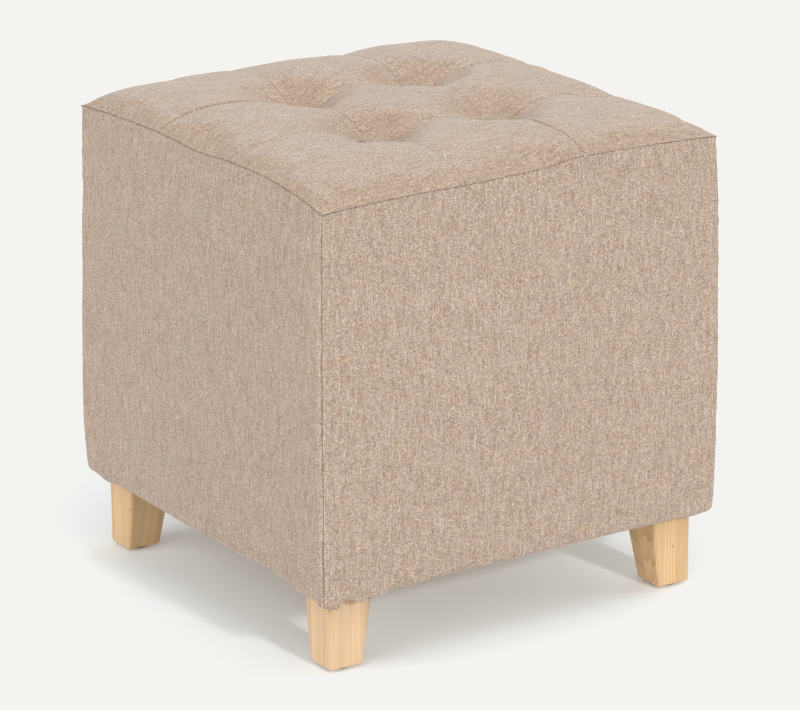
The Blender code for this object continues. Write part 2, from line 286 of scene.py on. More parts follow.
class TreeBench:
    """Builds a node tree by short calls."""

    def __init__(self, tree: bpy.types.NodeTree) -> None:
        """Work on the given tree."""
        self.tree = tree

    def node(
        self, kind: str, inputs: dict[str | int, Feed] | None = None, **settings: str | bool
    ) -> bpy.types.Node:
        """Add a node.

        Args:
            kind: The node's type.
            inputs: What goes into its sockets, by their names or numbers.
            **settings: The node's own properties, which are set first.

        Returns:
            The new node.
        """
        made = self.tree.nodes.new(kind)
        for name, value in settings.items():
            setattr(made, name, value)
        for name, value in (inputs or {}).items():
            self.feed(made.inputs[name], value)
        return made

    def feed(self, socket: Socket, value: Feed) -> None:
        """Link a socket to another socket, or give it a constant.

        Args:
            socket: The socket that is fed.
            value: The other socket or the constant.
        """
        if isinstance(value, Socket):
            self.tree.links.new(value, socket)
        else:
            socket.default_value = value

    def maths(self, operation: str, first: Feed, second: Feed = 0.0) -> Socket:
        """Return the result of a calculation on one or two numbers."""
        return self.node("ShaderNodeMath", {0: first, 1: second}, operation=operation).outputs[0]

    def vector(self, x: Feed, y: Feed, z: Feed) -> Socket:
        """Return a vector joined from three numbers."""
        return self.node("ShaderNodeCombineXYZ", {0: x, 1: y, 2: z}).outputs[0]


class NodeBench(TreeBench):
    """Builds the node tree of one material."""

    def __init__(self, name: str) -> None:
        """Start a material whose only nodes are its shader and its output.

        Args:
            name: The material's name.
        """
        self.material = bpy.data.materials.new(name)
        self.material.use_nodes = True
        super().__init__(self.material.node_tree)
        self.shader = self.tree.nodes["Principled BSDF"]

    def place(self) -> Socket:
        """Return the place in the piece, in metres."""
        return self.node("ShaderNodeTexCoord").outputs["Object"]

    def stored(self, name: str) -> Socket:
        """Return the vector that the piece stores under a name."""
        return self.node("ShaderNodeAttribute", attribute_name=name).outputs["Vector"]

    def parts(self, vector: Feed) -> tuple[Socket, ...]:
        """Return the three numbers of a vector."""
        return tuple(self.node("ShaderNodeSeparateXYZ", {0: vector}).outputs)

    def noise(self, vector: Feed, scale: float = 1.0, detail: float = 2.0) -> Socket:
        """Return smooth noise between 0 and 1, sampled at a vector."""
        inputs = {"Vector": vector, "Scale": scale, "Detail": detail}
        return self.node("ShaderNodeTexNoise", inputs).outputs["Fac"]

    def ramp(self, share: Feed, stops: tuple[tuple[float, tuple[float, ...]], ...]) -> Socket:
        """Return the colour that a number picks from a row of stops.

        Args:
            share: The number.
            stops: The place and the colour of each stop.

        Returns:
            The colour's socket.
        """
        made = self.node("ShaderNodeValToRGB", {0: share})
        elements = made.color_ramp.elements
        for index, (place, colour) in enumerate(stops):
            element = elements[index] if index < 2 else elements.new(place)
            element.position = place
            element.color = (*colour, 1.0)
        return made.outputs[0]

    def span(self, value: Feed, low: float, high: float, start: float, end: float) -> Socket:
        """Return a number stretched from one range to another, and held within the second."""
        inputs = dict(enumerate((value, low, high, start, end)))
        return self.node("ShaderNodeMapRange", inputs, clamp=True).outputs[0]

    def pick(self, share: Feed, first: Feed, second: Feed) -> Socket:
        """Return the number at share of the way from the first to the second."""
        return self.node("ShaderNodeMix", {0: share, 2: first, 3: second}, data_type="FLOAT").outputs[0]

    def blend(self, share: Feed, first: Feed, second: Feed, kind: str = "MIX") -> Socket:
        """Return two colours mixed in the given way."""
        inputs = {"Factor": share, "A": first, "B": second}
        return self.node("ShaderNodeMix", inputs, data_type="RGBA", blend_type=kind).outputs["Result"]

    def shade(self, colour: Feed, brightness: Feed) -> Socket:
        """Return a colour multiplied by a number."""
        grey = self.vector(brightness, brightness, brightness)
        return self.blend(1.0, colour, grey, "MULTIPLY")

    def relief(self, height: Socket, depth: float, strength: float) -> None:
        """Give the shader a bump whose full height, from 0 to 1, is depth."""
        made = self.node("ShaderNodeBump", {"Strength": strength, "Distance": depth, "Height": height})
        self.feed(self.shader.inputs["Normal"], made.outputs["Normal"])

    def surface(self, values: dict[str, Feed]) -> bpy.types.Material:
        """Feed the shader's own sockets and return the material.

        Args:
            values: What goes into each socket, by its name.

        Returns:
            The finished material.
        """
        for name, value in values.items():
            self.feed(self.shader.inputs[name], value)
        return self.material


@dataclass(frozen=True)
class MelangeCloth:
    """Plain-woven melange cloth: cream, beige, pinkish and olive yarns with slubs.

    The weave follows the lengths in the RUN attribute.
    """

    slubs: SlubRun
    tone: float = 1.045
    light_painted: bool = False
    warp_pitch: float = 0.00056
    weft_pitch: float = 0.00074
    slub_length: float = 0.0200
    fleck_share: float = 0.74
    slub_share: float = 0.84
    weft_share: float = 0.22
    tint_across: float = 0.0034
    tint_along: float = 0.0120

    def make(self, name: str) -> bpy.types.Material:
        """Return the cloth as a material with the given name.

        Args:
            name: The material's name.

        Returns:
            The material.
        """
        bench = NodeBench(name)
        u, v, piece = bench.parts(bench.stored(RUN))
        across, along = (u, v) if self.slubs is SlubRun.UPRIGHT else (v, u)
        height, yarn = self._weave(bench, across, along, piece)
        tint_side = bench.maths("DIVIDE", across, self.tint_across)
        tint_way = bench.maths("DIVIDE", along, self.tint_along)
        tints = bench.noise(bench.vector(tint_side, tint_way, piece))
        colour = bench.ramp(
            yarn,
            (
                (0.00, (0.200, 0.140, 0.103)),
                (0.25, (0.325, 0.243, 0.187)),
                (0.50, (0.430, 0.336, 0.268)),
                (0.75, (0.540, 0.440, 0.365)),
                (1.00, (0.740, 0.640, 0.550)),
            ),
        )
        tint = bench.ramp(
            tints,
            (
                (0.30, (1.01, 0.96, 0.82)),
                (0.42, (1.02, 0.99, 0.96)),
                (0.50, (1.01, 1.00, 1.02)),
                (0.58, (1.03, 0.98, 0.98)),
                (0.70, (1.03, 0.89, 0.81)),
            ),
        )
        colour = bench.blend(1.0, colour, tint, "MULTIPLY")
        # Painted shade: the weave's low places between the yarns are darkened.
        crevice_shade = bench.span(height, 0.0, 0.9, 0.80, 1.04)
        colour = bench.shade(colour, bench.maths("MULTIPLY", crevice_shade, self.tone))
        # Painted light and shade on the top's cloth: lighter and cooler where it faces up, darker in the
        # dimples.
        if self.light_painted:
            colour = bench.blend(1.0, colour, bench.stored(LIGHT_PAINT), "MULTIPLY")
        bench.relief(bench.maths("ADD", height, yarn), 0.00020, 0.50)
        surface = {"Base Color": colour, "Roughness": 0.93, "Specular IOR Level": 0.18}
        return bench.surface(surface | {"Sheen Weight": 0.26, "Sheen Roughness": 0.42})

    def _weave(
        self,
        bench: NodeBench,
        across: Socket,
        along: Socket,
        piece: Socket,
    ) -> tuple[Socket, Socket]:
        """Return the weave's height, and the number that colours the yarn on top.

        Args:
            bench: The tree that is being built.
            across: Lengths across the thick yarns.
            along: Lengths along the thick yarns.
            piece: A number that is the same all over one cut piece of cloth.

        Returns:
            The height from 0 to 1, and a noise value for the upper yarn.
        """
        place = bench.vector(across, along, piece)
        wander = bench.maths("MULTIPLY", bench.noise(place, 140.0, 1.0), 1.6)
        warp = bench.maths("ADD", bench.maths("DIVIDE", across, self.warp_pitch), wander)
        weft = bench.maths("ADD", bench.maths("DIVIDE", along, self.weft_pitch), wander)
        column = bench.maths("FLOOR", warp)
        row = bench.maths("FLOOR", weft)
        warp_height = self._yarn(bench, warp, weft, column, 0.5)
        weft_height = self._yarn(bench, weft, warp, row, -0.5)
        over = bench.maths("GREATER_THAN", warp_height, weft_height)
        warp_way = bench.maths("DIVIDE", along, self.slub_length)
        weft_way = bench.maths("DIVIDE", across, self.slub_length * self.weft_share)
        warp_slub = bench.noise(bench.vector(bench.maths("MULTIPLY", column, 7.31), warp_way, piece))
        weft_slub = bench.noise(bench.vector(weft_way, bench.maths("MULTIPLY", row, 5.17), piece))
        weft_slub = bench.span(weft_slub, 0.0, 1.0, 0.5 - self.weft_share, 0.5 + self.weft_share)
        cell = bench.node("ShaderNodeTexWhiteNoise", {"Vector": bench.vector(column, row, piece)})
        fleck = bench.span(cell.outputs["Value"], 0.0, 1.0, -self.fleck_share / 2.0, self.fleck_share / 2.0)
        slub = bench.maths("MULTIPLY", bench.pick(over, weft_slub, warp_slub), 2.0 * self.slub_share)
        centred = bench.maths("SUBTRACT", slub, self.slub_share - 0.5)
        height = bench.maths("MAXIMUM", warp_height, weft_height)
        return height, bench.maths("ADD", centred, fleck)

    def _yarn(
        self,
        bench: NodeBench,
        side: Socket,
        way: Socket,
        number: Socket,
        sign: float,
    ) -> Socket:
        """Return the height of one set of yarns as they pass over and under the other set.

        Args:
            bench: The tree that is being built.
            side: The place across the yarns, in yarns.
            way: The place along the yarns, in yarns of the other set.
            number: The number of the yarn that the place lies on.
            sign: 0.5 for the set that is on top where the two numbers add up to an even one, or -0.5.

        Returns:
            The height, from 0 to 1.
        """
        wave = bench.maths("SINE", bench.maths("MULTIPLY", side, math.pi))
        round_top = bench.maths("SQRT", bench.maths("ABSOLUTE", wave))
        turn = bench.maths("MULTIPLY", bench.maths("ADD", bench.maths("ADD", way, number), -0.5), math.pi)
        over = bench.maths("ADD", bench.maths("MULTIPLY", bench.maths("COSINE", turn), sign), 0.5)
        return bench.maths("MULTIPLY", round_top, over)


@dataclass(frozen=True)
class PineWood:
    """Planed and oiled pine, with growth rings round a heart outside the leg, and pin knots."""

    heart: tuple[float, float]
    seams: tuple[float, ...]
    warmth: tuple[float, float, float] = (1.0, 1.0, 1.0)
    ring_pitch: float = 0.0036
    ring_share: float = 0.8
    knots: tuple[tuple[float, float, float], ...] = ()
    knot_radius: float = 0.0010

    def make(self, name: str) -> bpy.types.Material:
        """Return the wood as a material with the given name.

        Args:
            name: The material's name.

        Returns:
            The material.
        """
        bench = NodeBench(name)
        place = bench.place()
        x, y, z = bench.parts(place)
        strip = self._strip(bench, x, y)
        rings = self._rings(bench, x, y, z, strip)
        wood = bench.ramp(
            rings,
            (
                (0.00, (0.800, 0.600, 0.400)),
                (0.40, (0.770, 0.560, 0.355)),
                (0.74, (0.690, 0.455, 0.250)),
                (0.90, (0.620, 0.385, 0.195)),
                (1.00, (0.800, 0.600, 0.400)),
            ),
        )
        broad = bench.noise(bench.vector(x, y, bench.maths("MULTIPLY", z, 0.10)), 110.0, 2.0)
        share = bench.span(broad, 0.35, 0.65, self.ring_share, 0.35 * self.ring_share)
        colour = bench.blend(share, (0.765, 0.560, 0.365, 1.0), wood)
        colour = bench.blend(1.0, colour, (*self.warmth, 1.0), "MULTIPLY")
        fibres = bench.noise(bench.vector(x, y, bench.maths("MULTIPLY", z, 0.03)), 1500.0, 2.0)
        tone = bench.span(bench.noise(bench.vector(strip, strip, 0.5), 3.7, 0.0), 0.3, 0.7, 0.90, 1.06)
        # The brightness falls towards the top of the leg, darkest just under the cover: partly a stain,
        # partly painted shade from the cover.
        brightness = bench.maths(
            "MULTIPLY",
            bench.maths("MULTIPLY", bench.span(fibres, 0.25, 0.75, 0.95, 1.04), tone),
            bench.span(z, 0.030, 0.068, 1.0, 0.92),
        )
        colour = bench.shade(colour, brightness)
        for knot in self.knots:
            away = bench.node("ShaderNodeVectorMath", {0: place, 1: knot}, operation="DISTANCE")
            spot = bench.span(away.outputs["Value"], self.knot_radius * 0.45, self.knot_radius, 1.0, 0.0)
            colour = bench.blend(spot, colour, (0.20, 0.095, 0.040, 1.0))
        bench.relief(bench.maths("ADD", fibres, bench.maths("MULTIPLY", rings, 0.6)), 0.00012, 0.35)
        polish = bench.span(fibres, 0.3, 0.7, 0.46, 0.60)
        return bench.surface({"Base Color": colour, "Roughness": polish, "Specular IOR Level": 0.30})

    def _strip(self, bench: NodeBench, x: Socket, y: Socket) -> Socket:
        """Return a number for each of the strips of wood that the leg is glued up from.

        Args:
            bench: The tree that is being built.
            x: The place's x.
            y: The place's y.

        Returns:
            The strip's number, from 0.
        """
        across = bench.maths("ADD", x, y)
        number = bench.maths("MULTIPLY", across, 0.0)
        for seam in self.seams:
            number = bench.maths("ADD", number, bench.maths("GREATER_THAN", across, seam))
        return number

    def _rings(self, bench: NodeBench, x: Socket, y: Socket, z: Socket, strip: Socket) -> Socket:
        """Return the place within a growth ring, from 0 at its start to 1 at its dark end.

        Args:
            bench: The tree that is being built.
            x: The place's x.
            y: The place's y.
            z: The place's z.
            strip: The number of the strip that the place lies in.

        Returns:
            The place within the ring.
        """
        shift = bench.maths("MULTIPLY", strip, 0.031)
        slow = bench.vector(bench.maths("ADD", x, shift), y, bench.maths("MULTIPLY", z, 0.16))
        sway = bench.maths("MULTIPLY", bench.noise(slow, 38.0, 3.0), 0.0085)
        reach_x = bench.maths("POWER", bench.maths("SUBTRACT", x, self.heart[0]), 2.0)
        reach_y = bench.maths("POWER", bench.maths("SUBTRACT", y, self.heart[1]), 2.0)
        distance = bench.maths("SQRT", bench.maths("ADD", reach_x, reach_y))
        radius = bench.maths("ADD", bench.maths("ADD", distance, shift), sway)
        return bench.maths("FRACT", bench.maths("DIVIDE", radius, self.ring_pitch))


@dataclass(frozen=True)
class BoardWood:
    """Pressed wood-fibre board, unfinished."""

    colour: tuple[float, float, float] = (0.47, 0.34, 0.21)

    def make(self, name: str) -> bpy.types.Material:
        """Return the board's wood as a material with the given name.

        Args:
            name: The material's name.

        Returns:
            The material.
        """
        bench = NodeBench(name)
        place = bench.place()
        x, y, z = bench.parts(place)
        stretched = bench.vector(bench.maths("MULTIPLY", x, 45.0), bench.maths("MULTIPLY", y, 260.0), z)
        strands = bench.noise(stretched, 1.0, 4.0)
        specks = bench.noise(place, 900.0, 2.0)
        dark = tuple(0.70 * part for part in self.colour)
        colour = bench.ramp(strands, ((0.32, dark), (0.68, self.colour)))
        colour = bench.shade(colour, bench.span(specks, 0.3, 0.7, 0.85, 1.12))
        bench.relief(bench.maths("ADD", strands, specks), 0.0002, 0.4)
        return bench.surface({"Base Color": colour, "Roughness": bench.span(specks, 0.3, 0.7, 0.70, 0.85)})


@dataclass(frozen=True)
class MouldedPlastic:
    """Dark moulded plastic with a fine matt texture and rubbed patches."""

    colour: tuple[float, float, float] = (0.040, 0.038, 0.036)

    def make(self, name: str) -> bpy.types.Material:
        """Return the plastic as a material with the given name.

        Args:
            name: The material's name.

        Returns:
            The material.
        """
        bench = NodeBench(name)
        place = bench.place()
        pores = bench.noise(place, 2600.0, 2.0)
        rubbed = bench.noise(place, 170.0, 3.0)
        worn = tuple(1.7 * part for part in self.colour)
        colour = bench.ramp(rubbed, ((0.40, self.colour), (0.72, worn)))
        bench.relief(pores, 0.00008, 0.4)
        return bench.surface({"Base Color": colour, "Roughness": bench.span(rubbed, 0.3, 0.7, 0.42, 0.62)})


@dataclass(frozen=True)
class SewingThread:
    """Spun sewing thread, with painted light and shade along the fine turns of its ply."""

    colour: tuple[float, float, float]
    turn: float = 0.0006

    def make(self, name: str) -> bpy.types.Material:
        """Return the thread as a material with the given name.

        Args:
            name: The material's name.

        Returns:
            The material.
        """
        bench = NodeBench(name)
        place = bench.place()
        x, y, z = bench.parts(place)
        slant = bench.maths("ADD", bench.maths("ADD", x, y), z)
        ply = bench.maths("SINE", bench.maths("MULTIPLY", slant, 2.0 * math.pi / self.turn))
        fuzz = bench.noise(place, 1400.0, 2.0)
        dark = tuple(0.66 * part for part in self.colour)
        colour = bench.ramp(fuzz, ((0.30, dark), (0.70, self.colour)))
        # Painted shade and highlight along the turns of the ply.
        colour = bench.shade(colour, bench.span(ply, -1.0, 1.0, 0.85, 1.10))
        bench.relief(ply, 0.00008, 0.5)
        return bench.surface({"Base Color": colour, "Roughness": 0.85, "Specular IOR Level": 0.2})


@dataclass(frozen=True)
class StudioFloor:
    """A plain pale studio floor with a faint, even tooth, lit a little from below like a light table."""

    colour: tuple[float, float, float] = (0.82, 0.86, 0.90)
    glow: float = 0.15

    def make(self, name: str) -> bpy.types.Material:
        """Return the floor's surface as a material with the given name.

        Args:
            name: The material's name.

        Returns:
            The material.
        """
        bench = NodeBench(name)
        tooth = bench.noise(bench.place(), 60.0, 3.0)
        colour = bench.shade((*self.colour, 1.0), bench.span(tooth, 0.3, 0.7, 0.997, 1.0))
        surface = {"Base Color": colour, "Roughness": 0.9, "Specular IOR Level": 0.1}
        return bench.surface(surface | {"Emission Color": (1.0,) * 4, "Emission Strength": self.glow})


# ---------------------------------------------------------------------------------------------------------
# The cover's shape, which the quilted top, the side panels and the stitching share


@dataclass(frozen=True)
class SeamRow:
    """Heights of the perimeter seam on one side, from left to right as seen from outside."""

    start: float
    first_cross: float
    middle: float
    second_cross: float


@dataclass(frozen=True)
class HemRow:
    """A place where the turned-under cloth bunches and the lower edge hangs lower."""

    side: Side
    run: float
    drop: float
    spread: float


@dataclass(frozen=True)
class CoverShape:
    """Outline, perimeter seam and lower edge of the sewn cover."""

    cover_half: float = 0.1900
    seam_half: float = 0.1850
    corner_radius: float = 0.0080
    seam_corner_radius: float = 0.0045
    seam_rise_power: float = 2.6
    lean_at: tuple[float, float] = (-0.185, 0.185)
    lean_top: float = 0.380
    lean_reach: float = 0.070
    lean_levels: tuple[float, ...] = (0.0, 0.14, 0.45, 0.75, 0.90, 1.0)
    lean_shifts: tuple[float, ...] = (0.0, 0.0016, 0.0, -0.0026, -0.0014, 0.0)
    shell: float = 0.0080
    hem_level: float = 0.0646
    cross_seam_x: tuple[float, float] = (-0.0555, 0.0555)
    cross_seam_y: tuple[float, float] = (-0.0610, 0.0540)
    seam_rows: tuple[SeamRow, ...] = (
        SeamRow(0.3712, 0.3750, 0.3764, 0.3816),
        SeamRow(0.3786, 0.3822, 0.3808, 0.3826),
        SeamRow(0.3790, 0.3828, 0.3812, 0.3832),
        SeamRow(0.3798, 0.3842, 0.3816, 0.3842),
    )
    hem_rows: tuple[HemRow, ...] = (
        HemRow(Side.FRONT, -0.1870, 0.0038, 0.0080),
        HemRow(Side.FRONT, -0.1780, 0.0052, 0.0050),
        HemRow(Side.FRONT, -0.1560, 0.0048, 0.0090),
        HemRow(Side.FRONT, -0.1390, 0.0036, 0.0070),
        HemRow(Side.FRONT, -0.1100, 0.0014, 0.0200),
        HemRow(Side.FRONT, 0.1680, 0.0012, 0.0130),
        HemRow(Side.RIGHT, -0.1700, 0.0026, 0.0090),
        HemRow(Side.RIGHT, -0.0600, -0.0010, 0.0300),
        HemRow(Side.RIGHT, 0.1600, 0.0024, 0.0120),
        HemRow(Side.BACK, -0.1640, 0.0028, 0.0110),
        HemRow(Side.BACK, 0.1720, 0.0032, 0.0090),
        HemRow(Side.LEFT, -0.1550, 0.0020, 0.0110),
        HemRow(Side.LEFT, 0.1000, -0.0018, 0.0300),
        HemRow(Side.LEFT, 0.1490, 0.0026, 0.0090),
        HemRow(Side.LEFT, 0.1650, 0.0020, 0.0080),
        HemRow(Side.LEFT, 0.1850, 0.0048, 0.0080),
    )

    def cross_seams_on(self, side: Side) -> tuple[float, float]:
        """Return where the two cross seams meet a side, along the side's run.

        Args:
            side: The side of the cover.

        Returns:
            The two places, from left to right as seen from outside.
        """
        front, right = self.cross_seam_x, self.cross_seam_y
        runs = (front, right, (-front[1], -front[0]), (-right[1], -right[0]))
        return runs[side.value]

    def seam_height(self, side: Side, run: np.ndarray) -> np.ndarray:
        """Return the height of the perimeter seam at places along a side.

        Args:
            side: The side of the cover.
            run: Places along it, from left to right as seen from outside.

        Returns:
            The seam's heights.
        """
        row = self.seam_rows[side.value]
        end = self.seam_rows[(side.value + 1) % len(self.seam_rows)].start
        first, second = self.cross_seams_on(side)
        middle = (first + second) / 2.0
        half = self.seam_half
        heights = (
            mix(row.start, row.first_cross, self._climb((run + half) / (first + half))),
            mix(row.first_cross, row.middle, swell((run - first) / (middle - first))),
            mix(row.middle, row.second_cross, swell((run - middle) / (second - middle))),
            mix(end, row.second_cross, self._climb((half - run) / (half - second))),
        )
        return np.select([run < first, run < middle, run < second], heights[:3], heights[3])

    def _climb(self, share: np.ndarray) -> np.ndarray:
        """Return a step from 0 to 1 that is steep at its start."""
        return 1.0 - (1.0 - np.clip(share, 0.0, 1.0)) ** self.seam_rise_power

    def hem_height(self, side: Side, run: np.ndarray) -> np.ndarray:
        """Return the height of the lower edge at places along a side.

        Args:
            side: The side of the cover.
            run: Places along it, from left to right as seen from outside.

        Returns:
            The lower edge's heights.
        """
        height = np.full(np.shape(run), self.hem_level)
        for row in self.hem_rows:
            if row.side is side:
                height = height - row.drop * np.exp(-(((run - row.run) / row.spread) ** 2))
        return height

    def seam_surface(self, x: np.ndarray, y: np.ndarray) -> np.ndarray:
        """Return the height of a smooth surface that passes through the whole perimeter seam.

        Args:
            x: The x of each point.
            y: The y of each point.

        Returns:
            The heights.
        """
        u = (x / self.seam_half + 1.0) / 2.0
        v = (y / self.seam_half + 1.0) / 2.0
        front = self.seam_height(Side.FRONT, x)
        back = self.seam_height(Side.BACK, -x)
        right = self.seam_height(Side.RIGHT, y)
        left = self.seam_height(Side.LEFT, -y)
        front_left, front_right, back_right, back_left = (row.start for row in self.seam_rows)
        corners = mix(mix(front_left, front_right, u), mix(back_left, back_right, u), v)
        return mix(front, back, v) + mix(left, right, u) - corners

    def outline(
        self, station: np.ndarray, half: np.ndarray, radius: np.ndarray, lift: np.ndarray
    ) -> tuple[np.ndarray, np.ndarray]:
        """Return x and y on the front side's outline in plan.

        Args:
            station: Places along the side, with -1 to 1 on the straight part and a corner arc out to 2.
            half: Half the outline's width.
            radius: The radius of its corners.
            lift: How far each point stands out from the outline.

        Returns:
            The x and the y of each point.
        """
        straight = half - radius
        reach = np.minimum(np.abs(station), 1.0)
        angle = np.clip(np.abs(station) - 1.0, 0.0, 1.0) * math.pi / 4.0
        hand = np.sign(station)
        x = hand * (reach * straight + (radius + lift) * np.sin(angle))
        return x, -(straight + (radius + lift) * np.cos(angle))

    def turned(self, side: Side, points: np.ndarray) -> np.ndarray:
        """Return points of the front side turned to another side's place, with the cover's lean there.

        Args:
            side: The side that the points are turned to.
            points: Points of the front side, one row each.

        Returns:
            The turned points.
        """
        turn = Matrix.Rotation(side.value * math.pi / 2.0, 3, "Z")
        points = points @ np.array(turn).T
        away = np.hypot(points[:, 0] - self.lean_at[0], points[:, 1] - self.lean_at[1])
        level = (points[:, 2] - self.hem_level) / (self.lean_top - self.hem_level)
        shift = np.interp(level, self.lean_levels, self.lean_shifts)
        outwards = np.array(self.lean_at) / math.hypot(*self.lean_at)
        outer = np.maximum(np.abs(points[:, 0]), np.abs(points[:, 1])) > self.seam_half - self.shell
        shift = shift * np.exp(-((away / self.lean_reach) ** 2)) * outer
        points[:, :2] += shift[:, None] * outwards
        return points


# ---------------------------------------------------------------------------------------------------------
# Quilted top


@dataclass(frozen=True)
class Filling:
    """Blows a closed cover up by cloth simulation, as its filling does."""

    pressure: float = 4.0
    slack: float = 0.018
    frames: int = 20
    most_swell: float = 0.0016

    def fill(self, piece: bpy.types.Object, held: np.ndarray) -> None:
        """Settle a piece's mesh and leave no modifier on it.

        Args:
            piece: A closed cover.
            held: For each vertex, from 0, free, to 1, sewn fast.
        """
        start = get_points(piece.data)
        group = piece.vertex_groups.new(name="sewn")
        for index, weight in enumerate(held):
            if weight > 0.0:
                group.add([index], float(weight), "REPLACE")
        cloth = piece.modifiers.new("filling", "CLOTH")
        settings = cloth.settings
        settings.quality = 7
        settings.mass = 0.25
        settings.tension_stiffness = 25.0
        settings.compression_stiffness = 12.0
        settings.shear_stiffness = 6.0
        settings.bending_stiffness = 0.6
        settings.tension_damping = 12.0
        settings.compression_damping = 12.0
        settings.shear_damping = 8.0
        settings.use_pressure = True
        settings.uniform_pressure_force = self.pressure
        settings.shrink_min = -self.slack
        settings.vertex_group_mass = group.name
        settings.effector_weights.gravity = 0.0
        scene = bpy.context.scene
        for number in range(1, self.frames + 1):
            scene.frame_set(number)
        settled = get_points(piece.evaluated_get(bpy.context.evaluated_depsgraph_get()).data)
        piece.modifiers.clear()
        piece.vertex_groups.clear()
        scene.frame_set(1)
        move = settled - start
        length = np.maximum(np.linalg.norm(move, axis=1, keepdims=True), 1e-9)
        capped = np.minimum(length, self.most_swell) / length
        set_points(piece.data, start + move * capped)


@dataclass(frozen=True)
class Pit:
    """The dimple that one button pulls into the top."""

    x: float
    y: float
    floor: float
    seed: int


@dataclass
class QuiltedTop:
    """The seat block: a crowned top of nine puffs, with sewn channels and four tufted pits."""

    cover: CoverShape
    finish: MelangeCloth
    filling: Filling
    pits: tuple[Pit, ...]
    crown: float = 0.0141
    shoulder_reach: float = 0.060
    near_seam: tuple[float, float, float] = (0.0015, 0.0042, 0.0085)
    groove_depth: float = 0.0011
    groove_width: float = 0.0090
    valley_depth: float = 0.0016
    valley_width: float = 0.0160
    seam_hold: float = 0.05
    pit_depth: float = 0.0265
    pit_reach: float = 0.061
    seat_radius: float = 0.0140
    channel_depth: float = 0.0003
    channel_reach: float = 0.0016
    pucker_height: float = 0.00022
    stitch_rise: float = 0.00012
    rim_depth: float = 0.0006
    rim_reach: float = 0.0014
    soft_height: float = 0.00045
    pull_height: float = 0.00028
    gather_height: float = 0.0011
    gather_start: float = 0.0100
    gather_reach: float = 0.0260
    gathers: int = 9
    # Painted light and shade of the cloth: a darker, warmer tone in the dimples, and a lighter, cooler one
    # where the cloth faces up.
    painted_light_from: float = 0.84
    dimple_shade_tone: tuple[float, float, float] = (0.965, 0.953, 0.938)
    upward_light_tone: tuple[float, float, float] = (1.075, 1.110, 1.160)
    puffs: tuple[tuple[float, float, float], ...] = (
        (0.0000, 0.0012, 0.0002),
        (0.0014, 0.0024, 0.0020),
        (-0.0006, 0.0040, 0.0032),
    )
    slack_from: float = -0.030
    slack_reach: float = 0.060
    slack_share: float = 0.85
    front_fall: float = 0.0040
    front_reach: float = 0.100
    dents: tuple[tuple[float, float, float], ...] = (
        (0.150, -0.062, 0.0050),
        (0.150, 0.100, 0.0042),
    )
    dent_reach: float = 0.024

    def build(self) -> bpy.types.Object:
        """Return the finished seat block.

        Returns:
            The finished piece.
        """
        columns = self._lines(self.cover.cross_seam_x)
        rows = self._lines(self.cover.cross_seam_y)
        piece = self._sheet(columns, rows)
        self.filling.fill(piece, self._held(piece.data))
        self._measure_runs(piece.data, len(columns), len(rows))
        self._smooth(piece)
        self._sew(piece.data)
        self._close(piece.data)
        piece.data.materials.append(self.finish.make("top_cloth"))
        hand_over(piece, ("top_cushion",))
        return piece

    def _lines(self, seams: tuple[float, float]) -> np.ndarray:
        """Return the places of the cage's lines along one axis, closer at the rim and the cross seams.

        Args:
            seams: The places of the two cross seams on this axis.

        Returns:
            The places, in order.
        """
        half, reach = self.cover.seam_half, self.shoulder_reach
        arc = reach * (1.0 - np.cos(np.linspace(0.0, math.pi / 2.0, 12)))
        low, high = seams
        near = np.array(self.near_seam)
        first = np.linspace(-half + reach, low - near[-1], 11)[1:]
        middle = np.linspace(low + near[-1], high - near[-1], 18)
        last = np.linspace(high + near[-1], half - reach, 11)[:-1]
        low_seam = np.concatenate([low - near[1::-1], [low], low + near[:2]])
        high_seam = np.concatenate([high - near[1::-1], [high], high + near[:2]])
        return np.concatenate([-half + arc, first, low_seam, middle, high_seam, last, (half - arc)[::-1]])

    def _sheet(self, columns: np.ndarray, rows: np.ndarray) -> bpy.types.Object:
        """Return the crowned top as an open cage, before it is filled and closed.

        Args:
            columns: The x of each of the cage's lines.
            rows: The y of each of the cage's lines.

        Returns:
            The cage.
        """
        x, y = (grid.ravel() for grid in np.meshgrid(columns, rows))
        points = np.column_stack([self._round_corners(np.column_stack([x, y])), self._height(x, y)])
        number = np.arange(len(x)).reshape(len(rows), len(columns))
        quads = np.stack([number[:-1, :-1], number[:-1, 1:], number[1:, 1:], number[1:, :-1]], axis=-1)
        faces = [tuple(map(int, quad)) for quad in quads.reshape(-1, 4)]
        piece = make_mesh_object("quilted_top", points, faces)
        set_attribute(piece.data, PLAN, np.column_stack([x, y, np.ones_like(x)]))
        return piece

    def _close(self, mesh: bpy.types.Mesh) -> None:
        """Close the sewn top with a ledge under its rim, walls behind the side panels and a bottom.

        Args:
            mesh: The sewn top, which is changed.
        """
        sheet = len(mesh.vertices)
        bm = bmesh.new()
        bm.from_mesh(mesh)
        rim = [edge for edge in bm.edges if edge.is_boundary]
        rim, ledge = self._extruded(bm, rim)
        half, bottom = self._block_half(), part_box("top_cushion")[0].z
        for vert in ledge:
            scale = half / max(abs(vert.co.x), abs(vert.co.y))
            vert.co.x *= scale
            vert.co.y *= scale
        rim, foot = self._extruded(bm, rim)
        for vert in foot:
            vert.co.z = bottom
        bmesh.ops.edgeloop_fill(bm, edges=rim)
        bmesh.ops.recalc_face_normals(bm, faces=bm.faces)
        bm.to_mesh(mesh)
        bm.free()
        mesh.shade_smooth()
        plan = get_attribute(mesh, PLAN)
        plan[sheet:, 2] = 0.0
        set_attribute(mesh, PLAN, plan)

